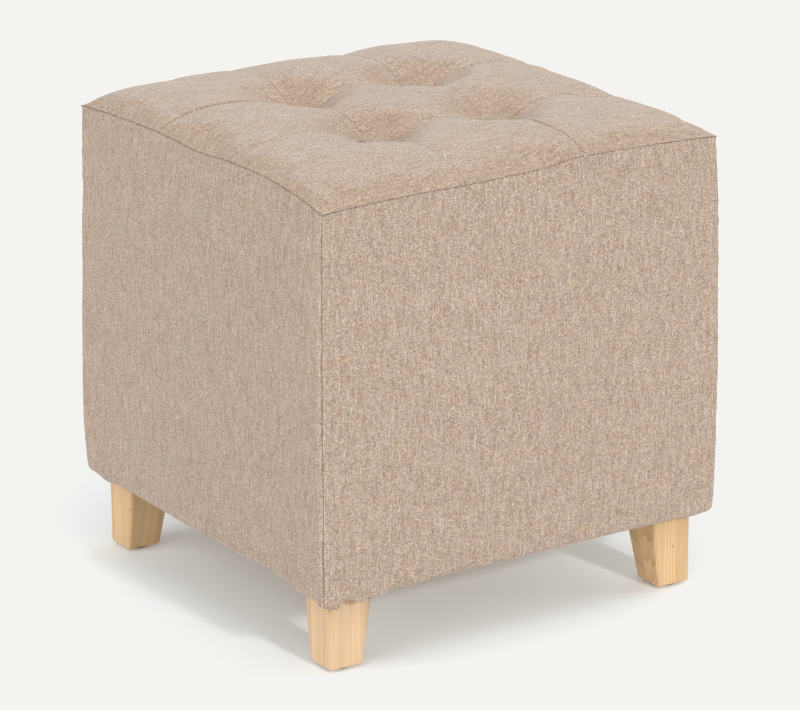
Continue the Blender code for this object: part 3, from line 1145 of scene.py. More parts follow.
    def _extruded(
        self, bm: bmesh.types.BMesh, rim: list[bmesh.types.BMEdge]
    ) -> tuple[list[bmesh.types.BMEdge], set[bmesh.types.BMVert]]:
        """Extrude a closed rim of edges and return its new edges and vertices.

        Args:
            bm: The mesh that is being edited.
            rim: The edges of the open rim.

        Returns:
            The edges of the new rim, and its vertices.
        """
        made = bmesh.ops.extrude_edge_only(bm, edges=rim)["geom"]
        moved = {part for part in made if isinstance(part, bmesh.types.BMVert)}
        edges = [part for part in made if isinstance(part, bmesh.types.BMEdge)]
        return [edge for edge in edges if moved.issuperset(edge.verts)], moved

    def _block_half(self) -> float:
        """Return half the width of the block between the side panels."""
        return -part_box("base_board")[0].x

    def _round_corners(self, flat: np.ndarray) -> np.ndarray:
        """Pull the corners of the square rim in to the radius of the seam's corners.

        Args:
            flat: The x and y of each point, one row each.

        Returns:
            The points with the corners pulled in.
        """
        pull = self.cover.seam_corner_radius * (1.0 - math.sqrt(0.5)) / self.cover.seam_half
        nearness = (np.abs(flat[:, :1] * flat[:, 1:]) / self.cover.seam_half**2) ** 24
        return flat * (1.0 - pull * nearness)

    def _shoulder(self, inset: np.ndarray) -> np.ndarray:
        """Return the crown's rounded rise, from 0 at the rim to 1 at the shoulder's reach."""
        return np.sqrt(1.0 - np.clip(1.0 - inset / self.shoulder_reach, 0.0, 1.0) ** 2)

    def _puff_share(self, place: np.ndarray, seams: tuple[float, float]) -> tuple[np.ndarray, np.ndarray]:
        """Return which puff each place is in, and its share of swell: 0 at the seams, 1 in the middle.

        Args:
            place: Places along one axis.
            seams: The places of the two cross seams on it.

        Returns:
            The puff's number from 0 to 2, and the share.
        """
        edges = np.array([-self.cover.seam_half, *seams, self.cover.seam_half])
        index = np.clip(np.searchsorted(edges, place) - 1, 0, 2)
        low, high = edges[index], edges[index + 1]
        return index, np.sin(math.pi * (place - low) / (high - low))

    def _height(self, x: np.ndarray, y: np.ndarray) -> np.ndarray:
        """Return the height of the top with its puffs, grooves and pits, before it is filled.

        Args:
            x: The x of each point.
            y: The y of each point.

        Returns:
            The heights.
        """
        half = self.cover.seam_half
        edge = self._shoulder(half - np.abs(x)) * self._shoulder(half - np.abs(y))
        column, swell_x = self._puff_share(x, self.cover.cross_seam_x)
        row, swell_y = self._puff_share(y, self.cover.cross_seam_y)
        height = self.crown * edge + np.array(self.puffs)[row, column] * swell_x * swell_y
        groove = self.groove_depth * self._pull(x) * edge
        valley = self.valley_depth * np.where((row == 1) | (column == 1), 1.0, self._slack(x)) * edge
        for place, seams in ((x, self.cover.cross_seam_x), (y, self.cover.cross_seam_y)):
            nearest = np.minimum(np.abs(place - seams[0]), np.abs(place - seams[1]))
            height -= groove * np.exp(-((nearest / self.groove_width) ** 2))
            height -= valley * np.exp(-((nearest / self.valley_width) ** 2))
        front = np.clip(-y / self.front_reach, 0.0, 1.0)
        height -= self.front_fall * edge * front * front * (3.0 - 2.0 * front)
        for dent_x, dent_y, depth in self.dents:
            height -= depth * edge * np.exp(-(np.hypot(x - dent_x, y - dent_y) ** 2) / self.dent_reach**2)
        height += self.cover.seam_surface(x, y)
        for pit in self.pits:
            distance = np.hypot(x - pit.x, y - pit.y)
            height -= self.pit_depth * fade(distance, self.pit_reach)
            height = np.where(distance < self.seat_radius, np.maximum(height, pit.floor), height)
        return height

    def _slack(self, x: np.ndarray) -> np.ndarray:
        """Return how slack the cross seams are at each x: 0 in the left half and 1 in the right."""
        return np.clip((x - self.slack_from) / self.slack_reach, 0.0, 1.0)

    def _pull(self, x: np.ndarray) -> np.ndarray:
        """Return how hard the cross seams pull at each x."""
        return 1.0 - self.slack_share * self._slack(x)

    def _held(self, mesh: bpy.types.Mesh) -> np.ndarray:
        """Return how fast each vertex of the cage is sewn down, from 0 to 1.

        Args:
            mesh: The open cage.

        Returns:
            One number for each vertex.
        """
        x, y, _ = get_attribute(mesh, PLAN).T
        inset = self.cover.seam_half - np.maximum(np.abs(x), np.abs(y))
        held = np.where(inset < CLEARANCE, 1.0, 0.0)
        for pit in self.pits:
            held = np.where(np.hypot(x - pit.x, y - pit.y) < self.seat_radius, 1.0, held)
        for place, seams in ((x, self.cover.cross_seam_x), (y, self.cover.cross_seam_y)):
            nearest = np.minimum(np.abs(place - seams[0]), np.abs(place - seams[1]))
            held = np.where(nearest < CLEARANCE, np.maximum(held, self.seam_hold), held)
        return held

    def _measure_runs(self, mesh: bpy.types.Mesh, wide: int, deep: int) -> None:
        """Store lengths along the filled cloth, from its middle outwards, for the weave.

        Args:
            mesh: The filled cage.
            wide: How many columns it has.
            deep: How many rows it has.
        """
        grid = get_points(mesh).reshape(deep, wide, 3)
        across = self._lengths(grid)
        along = self._lengths(grid.transpose(1, 0, 2)).T
        set_attribute(mesh, RUN, np.stack([across, along, np.zeros_like(across)], axis=-1))

    def _lengths(self, grid: np.ndarray) -> np.ndarray:
        """Return each point's distance along its row from the row's middle.

        Args:
            grid: Rows of points.

        Returns:
            One distance for each point, below 0 on the left.
        """
        steps = np.linalg.norm(np.diff(grid, axis=1), axis=2)
        lengths = np.concatenate([np.zeros((len(grid), 1)), np.cumsum(steps, axis=1)], axis=1)
        return lengths - lengths[:, [grid.shape[1] // 2]]

    def _smooth(self, piece: bpy.types.Object) -> None:
        """Subdivide the filled cage.

        Args:
            piece: The filled cage, which is changed.
        """
        smooth = piece.modifiers.new("smooth", "SUBSURF")
        smooth.levels = 2
        smooth.render_levels = 2
        bake_modifiers(piece)

    def _sew(self, mesh: bpy.types.Mesh) -> None:
        """Press the sewn channels, the rim's turn and the gathers round the buttons into the cloth, and paint
        light and shade on it.

        Args:
            mesh: The smooth top, which is changed.
        """
        points, normals = get_points(mesh), get_normals(mesh)
        x, y, _ = get_attribute(mesh, PLAN).T
        lift = self._channels(x, y) + self._gathers(x, y) + self._loose_waves(x, y)
        points += normals * lift[:, None]
        rise = points[:, 2] - self.cover.seam_surface(x, y)
        tuck = self.rim_depth * roll(rise, self.rim_reach)
        points[:, :2] *= (1.0 - tuck / self.cover.seam_half)[:, None]
        for pit in self.pits:
            seat = np.hypot(x - pit.x, y - pit.y) < self.seat_radius
            points[seat, 2] = np.minimum(points[seat, 2], pit.floor - CLEARANCE)
        set_points(mesh, points)
        self._paint_light_and_shade(mesh)

    def _paint_light_and_shade(self, mesh: bpy.types.Mesh) -> None:
        """Paint light on the cloth where it faces up, and painted shade, a darker and warmer tone, in the
        dimples.

        Args:
            mesh: The sewn top, which gets the attribute of painted light and shade.
        """
        up = np.clip((get_normals(mesh)[:, 2] - self.painted_light_from) / (1.0 - self.painted_light_from), 0.0, 1.0)
        share = (up * up * (3.0 - 2.0 * up))[:, None]
        set_attribute(mesh, LIGHT_PAINT, mix(np.array(self.dimple_shade_tone), np.array(self.upward_light_tone), share))

    def _channels(self, x: np.ndarray, y: np.ndarray) -> np.ndarray:
        """Return how far the cross seams press the cloth in, with the stitches' small puckers.

        Args:
            x: The x of each point.
            y: The y of each point.

        Returns:
            How far each point is lifted, below 0 where it is pressed in.
        """
        lift = np.zeros_like(x)
        pucker = Ripple(11, 0.0060, 0.0150, 0.0)
        for place, other, seams in ((x, y, self.cover.cross_seam_x), (y, x, self.cover.cross_seam_y)):
            for seam in seams:
                away = np.abs(place - seam)
                lift -= self.channel_depth * self._pull(x) * fade(away, self.channel_reach)
                near = np.exp(-away / 0.006) * np.minimum(away / 0.002, 1.0)
                lift += self.pucker_height * near * pucker.at(other + seam, other)
        return lift

    def _gathers(self, x: np.ndarray, y: np.ndarray) -> np.ndarray:
        """Return the pleats that run out from each button, deep at its edge and gone further out.

        Args:
            x: The x of each point.
            y: The y of each point.

        Returns:
            How far each point is lifted.
        """
        lift = np.zeros_like(x)
        for pit in self.pits:
            random = np.random.default_rng(pit.seed)
            distance = np.hypot(x - pit.x, y - pit.y)
            angle = np.arctan2(y - pit.y, x - pit.x)
            first, second = random.uniform(0.0, 2.0 * math.pi, 2)
            bent = angle + 0.22 * np.sin(2.0 * angle + first) + 0.10 * np.sin(3.0 * angle + second)
            pleat = np.abs(np.sin(bent * self.gathers / 2.0 + second)) ** 0.7 - 0.62
            start = np.clip((distance - self.gather_start) / (self.seat_radius - self.gather_start), 0.0, 1.0)
            end = fade(np.maximum(distance - self.seat_radius, 0.0), self.gather_reach)
            lift += self.gather_height * pleat * start * end
        return lift

    def _loose_waves(self, x: np.ndarray, y: np.ndarray) -> np.ndarray:
        """Return the soft unevenness of hand-filled puffs, and short pulls at the perimeter seam.

        Args:
            x: The x of each point.
            y: The y of each point.

        Returns:
            How far each point is lifted.
        """
        inset = self.cover.seam_half - np.maximum(np.abs(x), np.abs(y))
        soft = self.soft_height * Ripple(23, 0.045, 0.110).at(x, y) * np.clip(inset / 0.02, 0.0, 1.0)
        along = np.where(np.abs(x) > np.abs(y), y, x)
        pulls = self.pull_height * Ripple(31, 0.007, 0.018, 0.0).at(along + np.sign(x + 2.0 * y), along)
        return soft + pulls * np.exp(-np.maximum(inset, 0.0) / 0.004) * np.clip(inset / 0.0006, 0.0, 1.0)

    def cross_seam_paths(self, piece: bpy.types.Object) -> list[np.ndarray]:
        """Return the lines along which the cross seams lie in the finished top.

        Args:
            piece: The finished quilted top.

        Returns:
            One row of points for each stretch of seam between the rim and a button, or two buttons.
        """
        points, plan = get_points(piece.data), get_attribute(piece.data, PLAN)
        paths = []
        for axis, seams in ((0, self.cover.cross_seam_x), (1, self.cover.cross_seam_y)):
            for seam in seams:
                on_seam = (np.abs(plan[:, axis] - seam) < 0.00005) & (plan[:, 2] > 0.5)
                line = points[on_seam]
                run = plan[on_seam, 1 - axis]
                order = np.argsort(run)
                line, run = line[order], run[order]
                crossings = self.cover.cross_seam_y if axis == 0 else self.cover.cross_seam_x
                clear = self.seat_radius
                edges = (-1.0, *crossings, 1.0)
                for low, high in zip(edges, edges[1:]):
                    part = (run > low + clear) & (run < high - clear)
                    paths.append(line[part] + np.array([0.0, 0.0, self.stitch_rise]))
        return paths


# ---------------------------------------------------------------------------------------------------------
# Side panels


@dataclass
class SidePanel:
    """One padded side of the cover, from its turned-under lower edge to the perimeter seam.

    Each panel reaches half-way round the two upright corners, where the corner seams join it to the next.
    """

    side: Side
    cover: CoverShape
    finish: MelangeCloth
    inner_half: float = 0.1770
    fullest_height: float = 0.150
    seam_draw_power: float = 3.0
    seam_gap: float = 0.00015
    hem_radius: float = 0.0050
    hem_draw: float = 0.0012
    hem_draw_reach: float = 0.060
    bulge: float = 0.0020
    soft_height: float = 0.00050
    pull_height: float = 0.00030
    pucker_height: float = 0.00022
    mitre_gap: float = 0.00006
    seam_turn_depth: float = 0.0006
    seam_turn_reach: float = 0.0013
    corner_turn_depth: float = 0.0005
    corner_turn_reach: float = 0.0012
    straight_cells: int = 62
    arc_cells: int = 9
    wall_cells: int = 88

    def build(self) -> bpy.types.Object:
        """Return the finished panel.

        Returns:
            The finished piece.
        """
        name = self.side.name.lower()
        station = self._stations()[:, None]
        outer = self._outer(station)
        inner = self._inner(station)
        loops = np.concatenate([outer, inner], axis=1)
        number = np.arange(loops.shape[0] * loops.shape[1]).reshape(loops.shape[:2])
        faces = ring_faces(number) + [tuple(map(int, number[0])), tuple(map(int, number[-1][::-1]))]
        points = self.cover.turned(self.side, loops[:, :, :3].reshape(-1, 3))
        piece = make_mesh_object(f"side_cover_{name}", points, faces)
        cut = np.full(len(points), self.side.value * 3.7)
        set_attribute(piece.data, RUN, np.column_stack([loops[:, :, 3].ravel(), points[:, 2], cut]))
        piece.data.materials.append(self.finish.make(f"side_cloth_{name}"))
        hand_over(piece, (f"side_panel_{name}",))
        return piece

    def _stations(self) -> np.ndarray:
        """Return the places of the panel's columns along its outline, closer together at its ends.

        Returns:
            The places, from -2 at the left corner seam to 2 at the right one.
        """
        straight = np.sin(np.linspace(-1.0, 1.0, 2 * self.straight_cells + 1) * math.pi / 2.2)
        straight /= straight[-1]
        arc = 1.0 + swell(np.linspace(0.0, 1.0, self.arc_cells + 1)[1:] * 0.5 + 0.5) * 2.0 - 1.0
        return np.concatenate([-arc[::-1], straight, arc])

    def _edges(self, station: np.ndarray) -> tuple[np.ndarray, np.ndarray, np.ndarray]:
        """Return each column's run along the side, its lower edge and its upper edge.

        Args:
            station: The places of the columns along the outline.

        Returns:
            The run, the lower edge and the upper edge of each column.
        """
        cover = self.cover
        run, _ = cover.outline(station, cover.seam_half, cover.seam_corner_radius, 0.0)
        low = cover.hem_height(self.side, run)
        return run, low, cover.seam_height(self.side, run) - self.seam_gap

    def _outer(self, station: np.ndarray) -> np.ndarray:
        """Return the outer face's points, with the length along the cloth as a fourth number.

        Args:
            station: The places of the columns along the outline.

        Returns:
            One row of points for each column, from the bottom up.
        """
        cover = self.cover
        run, low, high = self._edges(station)
        turn = np.linspace(0.0, 1.0, 7)[:-1] * math.pi / 2.0
        share = np.linspace(0.0, 1.0, self.wall_cells)
        share = mix(share, np.sin(share * math.pi / 2.0), 0.55)
        wall_top = high - self.seam_turn_reach
        hem = low + self.hem_radius * (1.0 - np.cos(turn))
        wall = mix(low + self.hem_radius, wall_top, share)
        lip = wall_top + self.seam_turn_reach * np.sin(np.linspace(0.0, 1.0, 6)[1:] * math.pi / 2.0)
        height = np.concatenate([hem, wall, lip], axis=1)
        draw = np.clip((height - self.fullest_height) / (high - self.fullest_height), 0.0, 1.0)
        draw = draw**self.seam_draw_power
        half = mix(cover.cover_half, cover.seam_half, draw)
        half = half - self.hem_draw * fade(height - low, self.hem_draw_reach)
        half = half - self.hem_radius * roll(height - low, self.hem_radius)
        half = half - self.seam_turn_depth * roll(high - height, self.seam_turn_reach)
        radius = mix(cover.corner_radius, cover.seam_corner_radius, draw)
        to_seam = (2.0 - np.abs(station)) * radius * math.pi / 4.0
        to_seam = np.where(np.abs(station) > 1.0, to_seam, 1.0)
        lift = self._relief(run, height, low, high, np.abs(station))
        lift = lift - self.corner_turn_depth * roll(to_seam, self.corner_turn_reach)
        x, y = cover.outline(station, half, radius, lift)
        across = np.clip(1.0 - (x / cover.cover_half) ** 2, 0.0, 1.0)
        y = y - self.bulge * across * np.sin(math.pi * (height - low) / (high - low))
        x = x - np.sign(x) * self.mitre_gap * np.abs(x) / self.inner_half
        arc = np.clip(np.abs(station) - 1.0, 0.0, 1.0) * cover.corner_radius * math.pi / 4.0
        straight = np.minimum(np.abs(station), 1.0) * (cover.cover_half - cover.corner_radius)
        length = np.sign(station) * (straight + arc)
        return np.stack([x, y, height, np.broadcast_to(length, x.shape)], axis=-1)

    def _relief(
        self, run: np.ndarray, height: np.ndarray, low: np.ndarray, high: np.ndarray, reach: np.ndarray
    ) -> np.ndarray:
        """Return how far the cloth stands out from the plain outline.

        Args:
            run: Places along the side.
            height: Heights above the floor.
            low: The lower edge's height at each place.
            high: The perimeter seam's height at each place.
            reach: 0 in the middle of the side, 1 at the start of a corner arc and 2 at the corner seam.

        Returns:
            Soft waves, short pulls at the seams, and folds over the bunched lower edge.
        """
        seed = 40 + self.side.value
        inside = np.clip((high - height) / 0.03, 0.0, 1.0) * np.clip((height - low) / 0.03, 0.0, 1.0)
        soft = self.soft_height * Ripple(seed, 0.070, 0.160).at(run, height) * inside
        pulls = self.pull_height * Ripple(seed + 10, 0.007, 0.018, 0.0).at(run, height)
        pulls = pulls * np.exp(-(high - height) / 0.007) * np.clip((high - height) / 0.001, 0.0, 1.0)
        puckers = self.pucker_height * Ripple(seed + 20, 0.008, 0.022, 0.0).at(height, run)
        puckers = puckers * np.exp(-np.clip(2.0 - reach, 0.0, 2.0) / 0.9) * (reach > 0.9)
        bunches = np.zeros(np.broadcast(run, height).shape)
        for row in self.cover.hem_rows:
            if row.side is self.side:
                over = np.exp(-(((run - row.run) / (row.spread * 0.8)) ** 2))
                bunches = bunches + 0.20 * row.drop * over * np.exp(-(height - low) / 0.022)
        return soft + pulls + puckers + bunches

    def _inner(self, station: np.ndarray) -> np.ndarray:
        """Return the inner face's points, from the top down, with the length along the cloth.

        Args:
            station: The places of the columns along the outline.

        Returns:
            One row of points for each column.
        """
        run, low, high = self._edges(station)
        corner = self.cover.seam_half - self.cover.seam_corner_radius * (1.0 - math.sqrt(0.5))
        height = mix(high, low, np.linspace(0.0, 1.0, 6))
        x = np.broadcast_to(run * self.inner_half / corner, height.shape)
        x = x - np.sign(x) * self.mitre_gap * np.abs(x) / self.inner_half
        return np.stack([x, np.full(height.shape, -self.inner_half), height, x], axis=-1)

    def seam_path(self) -> np.ndarray:
        """Return the line on which the stitches of the perimeter seam lie, along this side.

        Returns:
            One row for each point of the line.
        """
        cover = self.cover
        run = np.linspace(-1.0, 1.0, 160) * (cover.seam_half - 0.002)
        height = cover.seam_height(self.side, run) - self.seam_gap / 2.0
        inset = np.full(run.shape, -(cover.seam_half - 0.55 * self.seam_turn_depth))
        return cover.turned(self.side, np.column_stack([run, inset, height]))

    def corner_path(self) -> np.ndarray:
        """Return the line on which the stitches of the corner seam at this side's left end lie.

        Returns:
            One row for each point of the line.
        """
        station = np.full((1, 1), -2.0)
        outer = self._outer(station)[0, 8:-6, :3].copy()
        outer[:, 0] = outer[:, 1]
        outwards = np.array([-1.0, -1.0, 0.0]) * 0.35 * self.corner_turn_depth / math.sqrt(2.0)
        return self.cover.turned(self.side, outer + outwards)


# ---------------------------------------------------------------------------------------------------------
# Buttons


@dataclass
class TuftButton:
    """A covered button: a shallow dome of cloth drawn round a shell and gathered under its rim."""

    corner: Corner
    finish: MelangeCloth
    edge: float = 0.0022
    rows: int = 16
    steps: int = 72
    gathers: int = 15
    gather_depth: float = 0.00042

    def build(self) -> bpy.types.Object:
        """Return the finished button.

        Returns:
            The finished piece.
        """
        name = f"tuft_button_{self.corner.name.lower()}"
        low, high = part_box(name)
        centre = (low + high) / 2.0
        radius, height = (high.x - low.x) / 2.0, high.z - low.z
        angle = np.linspace(0.0, math.pi / 2.0, self.rows)[1:]
        profile = [(radius * math.sin(a), self.edge + (height - self.edge) * math.cos(a)) for a in angle]
        undercut = ((0.985, 0.55), (0.93, 0.18), (0.84, 0.0))
        profile += [(radius * wide, self.edge * up) for wide, up in undercut]
        rings = np.array(profile)
        turn = np.arange(self.steps) * 2.0 * math.pi / self.steps
        random = np.random.default_rng(70 + self.corner.value)
        bent = turn + 0.16 * np.sin(2.0 * turn + random.uniform(0.0, 6.0))
        pleats = np.abs(np.sin(bent * self.gathers / 2.0)) ** 0.8 - 1.0
        rim = np.clip((rings[:, :1] / radius - 0.72) / 0.25, 0.0, 1.0)
        reach = rings[:, :1] + self.gather_depth * pleats * rim
        x, y = centre.x + reach * np.cos(turn), centre.y + reach * np.sin(turn)
        z = np.broadcast_to(low.z + rings[:, 1:], x.shape)
        points = np.stack([x, y, z], axis=-1).reshape(-1, 3)
        crown, under = len(points), len(points) + 1
        points = np.concatenate([points, [(centre.x, centre.y, high.z), (centre.x, centre.y, low.z)]])
        faces = ring_faces(np.arange(crown).reshape(len(rings), self.steps))
        for step in range(self.steps):
            after, last = (step + 1) % self.steps, crown - self.steps
            faces.append((crown, step, after))
            faces.append((under, last + after, last + step))
        piece = make_mesh_object(f"covered_{name}", points, faces)
        run = points - np.array(centre)
        run[:, 2] = 1.9 * (self.corner.value + 1)
        set_attribute(piece.data, RUN, run)
        piece.data.materials.append(self.finish.make(f"{name}_cloth"))
        hand_over(piece, (name,))
        return piece


# ---------------------------------------------------------------------------------------------------------
# Stitching, made with Geometry Nodes


@dataclass
class SeamStitching:
    """Runs of machine stitches along the sewn seams."""

    thread: SewingThread
    pitch: float = 0.0041
    length: float = 0.0029
    radius: float = 0.00032
    unevenness: float = 0.22
    seed: int = 5

    def build(self, name: str, paths: list[np.ndarray]) -> bpy.types.Object:
        """Return one piece with a stitch at every pitch along some lines.

        Args:
            name: The piece's name.
            paths: The lines, each a row of points.

        Returns:
            The finished piece.
        """
        material = self.thread.make(f"{name}_thread")
        piece = self._guide(name, paths)
        tree = self._tree(material)
        modifier = piece.modifiers.new("stitches", "NODES")
        modifier.node_group = tree
        inputs = {item.name: item.identifier for item in tree.interface.items_tree if item.in_out == "INPUT"}
        modifier[inputs[PITCH]] = self.pitch
        modifier[inputs[LENGTH]] = self.length
        modifier[inputs[RADIUS]] = self.radius
        modifier[inputs[UNEVENNESS]] = self.unevenness
        modifier[inputs[SEED]] = self.seed
        bake_modifiers(piece)
        hand_over(piece, ())
        return piece

    def _guide(self, name: str, paths: list[np.ndarray]) -> bpy.types.Object:
        """Return an object whose edges are the lines that the stitches follow.

        Args:
            name: The object's name.
            paths: The lines, each a row of points.

        Returns:
            The object.
        """
        edges, start = [], 0
        for path in paths:
            edges += [(start + step, start + step + 1) for step in range(len(path) - 1)]
            start += len(path)
        mesh = bpy.data.meshes.new(name)
        mesh.from_pydata(np.concatenate(paths).tolist(), edges, [])
        return place_object(name, mesh)

    def _tree(self, material: bpy.types.Material) -> bpy.types.NodeTree:
        """Return the node tree that sets a stitch at even steps along every edge line.

        Args:
            material: The thread's material.

        Returns:
            The tree.
        """
        tree = bpy.data.node_groups.new("stitch_run", "GeometryNodeTree")
        sockets = [("Seam lines", "INPUT", "Geometry")]
        sockets += [(name, "INPUT", "Float") for name in (PITCH, LENGTH, RADIUS, UNEVENNESS)]
        sockets += [(SEED, "INPUT", "Int"), ("Stitches", "OUTPUT", "Geometry")]
        for name, way, kind in sockets:
            tree.interface.new_socket(name=name, in_out=way, socket_type=f"NodeSocket{kind}")
        bench = TreeBench(tree)
        given = bench.node("NodeGroupInput").outputs
        lines = bench.node("GeometryNodeMeshToCurve", {"Mesh": given["Seam lines"]}).outputs["Curve"]
        spaced = {"Curve": lines, "Length": given[PITCH]}
        even = bench.node("GeometryNodeResampleCurve", spaced, mode="LENGTH")
        bead = bench.node("GeometryNodeMeshUVSphere", {"Segments": 6, "Rings": 6, "Radius": 1.0})
        size = bench.vector(given[RADIUS], given[RADIUS], bench.maths("MULTIPLY", given[LENGTH], 0.5))
        stitch = bench.node("GeometryNodeTransform", {"Geometry": bead.outputs["Mesh"], "Scale": size})
        least = bench.maths("SUBTRACT", 1.0, given[UNEVENNESS])
        most = bench.maths("ADD", 1.0, given[UNEVENNESS])
        spread = {2: least, 3: most, "Seed": given[SEED]}
        uneven = bench.node("FunctionNodeRandomValue", spread, data_type="FLOAT").outputs[1]
        tangent = bench.node("GeometryNodeInputTangent").outputs["Tangent"]
        aim = bench.node("FunctionNodeAlignRotationToVector", {"Vector": tangent}, axis="Z")
        laid = bench.node(
            "GeometryNodeInstanceOnPoints",
            {
                "Points": even.outputs["Curve"],
                "Instance": stitch.outputs["Geometry"],
                "Rotation": aim.outputs["Rotation"],
                "Scale": uneven,
            },
        )
        real = bench.node("GeometryNodeRealizeInstances", {"Geometry": laid.outputs["Instances"]})
        smooth = bench.node("GeometryNodeSetShadeSmooth", {"Geometry": real.outputs["Geometry"]})
        cloth = {"Geometry": smooth.outputs["Geometry"], "Material": material}
        dressed = bench.node("GeometryNodeSetMaterial", cloth)
        bench.node("NodeGroupOutput", {"Stitches": dressed.outputs["Geometry"]})
        return tree


@dataclass
class LooseThreads:
    """The ends that the machinist left: one standing on the top, and a short one at the front seam."""

    thread: SewingThread
    radius: float = 0.00046
    sides: int = 8
    steps: int = 14
    top_foot: tuple[float, float] = (-0.0570, -0.1590)
    top_reach: tuple[float, float, float] = (-0.0015, 0.0009, 0.0086)
    seam_foot: tuple[float, float, float] = (0.0543, -0.1850, 0.3810)
    seam_reach: tuple[float, float, float] = (0.0008, -0.0014, 0.0022)

    def build(self, name: str, top_piece: bpy.types.Object) -> bpy.types.Object:
        """Return all the loose ends as one piece, each of them a closed tube.

        Args:
            name: The piece's name.
            top_piece: The finished quilted top, on which the longest end stands.

        Returns:
            The finished piece.
        """
        cloth = get_points(top_piece.data)
        foot = cloth[np.argmin(np.linalg.norm(cloth[:, :2] - self.top_foot, axis=1))]
        foot[2] -= 2.0 * CLEARANCE
        points, faces = [], []
        for start, reach in ((foot, self.top_reach), (self.seam_foot, self.seam_reach)):
            tube, skin = self._tube(self._curl(np.array(start), np.array(reach)))
            faces += [tuple(index + sum(map(len, points)) for index in face) for face in skin]
            points.append(tube)
        piece = make_mesh_object(name, np.concatenate(points), faces)
        piece.data.materials.append(self.thread.make(f"{name}_thread"))
        hand_over(piece, ())
        return piece

    def _curl(self, foot: np.ndarray, reach: np.ndarray) -> np.ndarray:
        """Return the path of an end that rises from its foot and bends over.

        Args:
            foot: Where it comes out of the cloth.
            reach: How far it goes from there.

        Returns:
            One row for each point of the path.
        """
        share = np.linspace(0.0, 1.0, self.steps)[:, None]
        bend = np.array([reach[1], -reach[0], 0.0]) * 0.6
        return foot + reach * np.sin(share * math.pi / 2.0) + bend * share**2

    def _tube(self, path: np.ndarray) -> tuple[np.ndarray, list[tuple[int, ...]]]:
        """Return the points and faces of a round tube along a path, closed at both ends.

        Args:
            path: One row for each point of the path.

        Returns:
            The points, and the vertex numbers of each face.
        """
        ahead = np.gradient(path, axis=0)
        ahead /= np.linalg.norm(ahead, axis=1, keepdims=True)
        side = np.cross(ahead, np.array([0.31, 0.83, 0.46]))
        side /= np.linalg.norm(side, axis=1, keepdims=True)
        up = np.cross(ahead, side)
        turn = np.linspace(0.0, 2.0 * math.pi, self.sides, endpoint=False)
        thin = np.ones(len(path))
        thin[[0, -1]] = 0.5
        ring = np.cos(turn)[None, :, None] * side[:, None] + np.sin(turn)[None, :, None] * up[:, None]
        points = path[:, None] + self.radius * thin[:, None, None] * ring
        number = np.arange(len(path) * self.sides).reshape(len(path), self.sides)
        ends = [tuple(map(int, number[0])), tuple(map(int, number[-1][::-1]))]
        return points.reshape(-1, 3), ring_faces(number) + ends


# ---------------------------------------------------------------------------------------------------------
# Legs, glides and board


@dataclass
class TaperedLeg:
    """A pine leg, upright on its two outer faces and tapered on its two inner ones."""

    corner: Corner
    finish: PineWood
    foot_width: float = 0.0305
    edge_radius: float = 0.0028
    foot_chamfer: float = 0.0020

    def build(self) -> bpy.types.Object:
        """Return the finished leg.

        Returns:
            The finished piece.
        """
        name = f"leg_{self.corner.name.lower()}"
        low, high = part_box(name)
        hands = (math.copysign(1.0, low.x + high.x), math.copysign(1.0, low.y + high.y))
        outer = [max(abs(low[axis]), abs(high[axis])) for axis in (0, 1)]
        inner = [min(abs(low[axis]), abs(high[axis])) for axis in (0, 1)]
        bm = bmesh.new()
        bmesh.ops.create_cube(bm, size=2.0)
        for vert in bm.verts:
            is_foot = vert.co.z < 0.0
            for axis in (0, 1):
                inside = outer[axis] - self.foot_width if is_foot else inner[axis]
                vert.co[axis] = hands[axis] * (outer[axis] if vert.co[axis] > 0.0 else inside)
            vert.co.z = low.z if is_foot else high.z
        bmesh.ops.recalc_face_normals(bm, faces=bm.faces)
        upright = [e for e in bm.edges if abs(e.verts[0].co.z - e.verts[1].co.z) > self.foot_width]
        bmesh.ops.bevel(bm, geom=upright, offset=self.edge_radius, segments=7, profile=0.5, affect="EDGES")
        foot = [e for e in bm.edges if max(v.co.z for v in e.verts) < low.z + CLEARANCE]
        bmesh.ops.bevel(bm, geom=foot, offset=self.foot_chamfer, segments=4, profile=0.6, affect="EDGES")
        for face in bm.faces:
            face.smooth = face.calc_area() < self.foot_width * self.edge_radius
        mesh = bpy.data.meshes.new(f"pine_{name}")
        bm.to_mesh(mesh)
        bm.free()
        piece = place_object(f"pine_{name}", mesh)
        mesh.materials.append(self.finish.make(f"pine_{self.corner.name.lower()}"))
        hand_over(piece, (name,))
        return piece


def dress_node(name: str, material: bpy.types.Material) -> None:
    """Give a node of the frame, whose shape is kept, a new material.

    Args:
        name: The node's name.
        material: Its new material.
    """
    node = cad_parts[name]
    node.data.materials.clear()
    node.data.materials.append(material)
    LOG.info("%s: kept as built, new finish", name)


# ---------------------------------------------------------------------------------------------------------
# Studio and camera


@dataclass(frozen=True)
class SoftSun:
    """A broad, distant studio light that falls evenly over the whole floor."""

    name: str
    azimuth: float
    elevation: float
    strength: float
    spread: float

    def build(self) -> None:
        """Hang the light where its azimuth and elevation say, in degrees."""
        data = bpy.data.lights.new(self.name, "SUN")
        data.energy = self.strength * math.pi
        data.angle = math.radians(self.spread)
        lamp = place_object(self.name, data)
        lamp.rotation_euler = (math.radians(90.0 - self.elevation), 0.0, math.radians(self.azimuth))


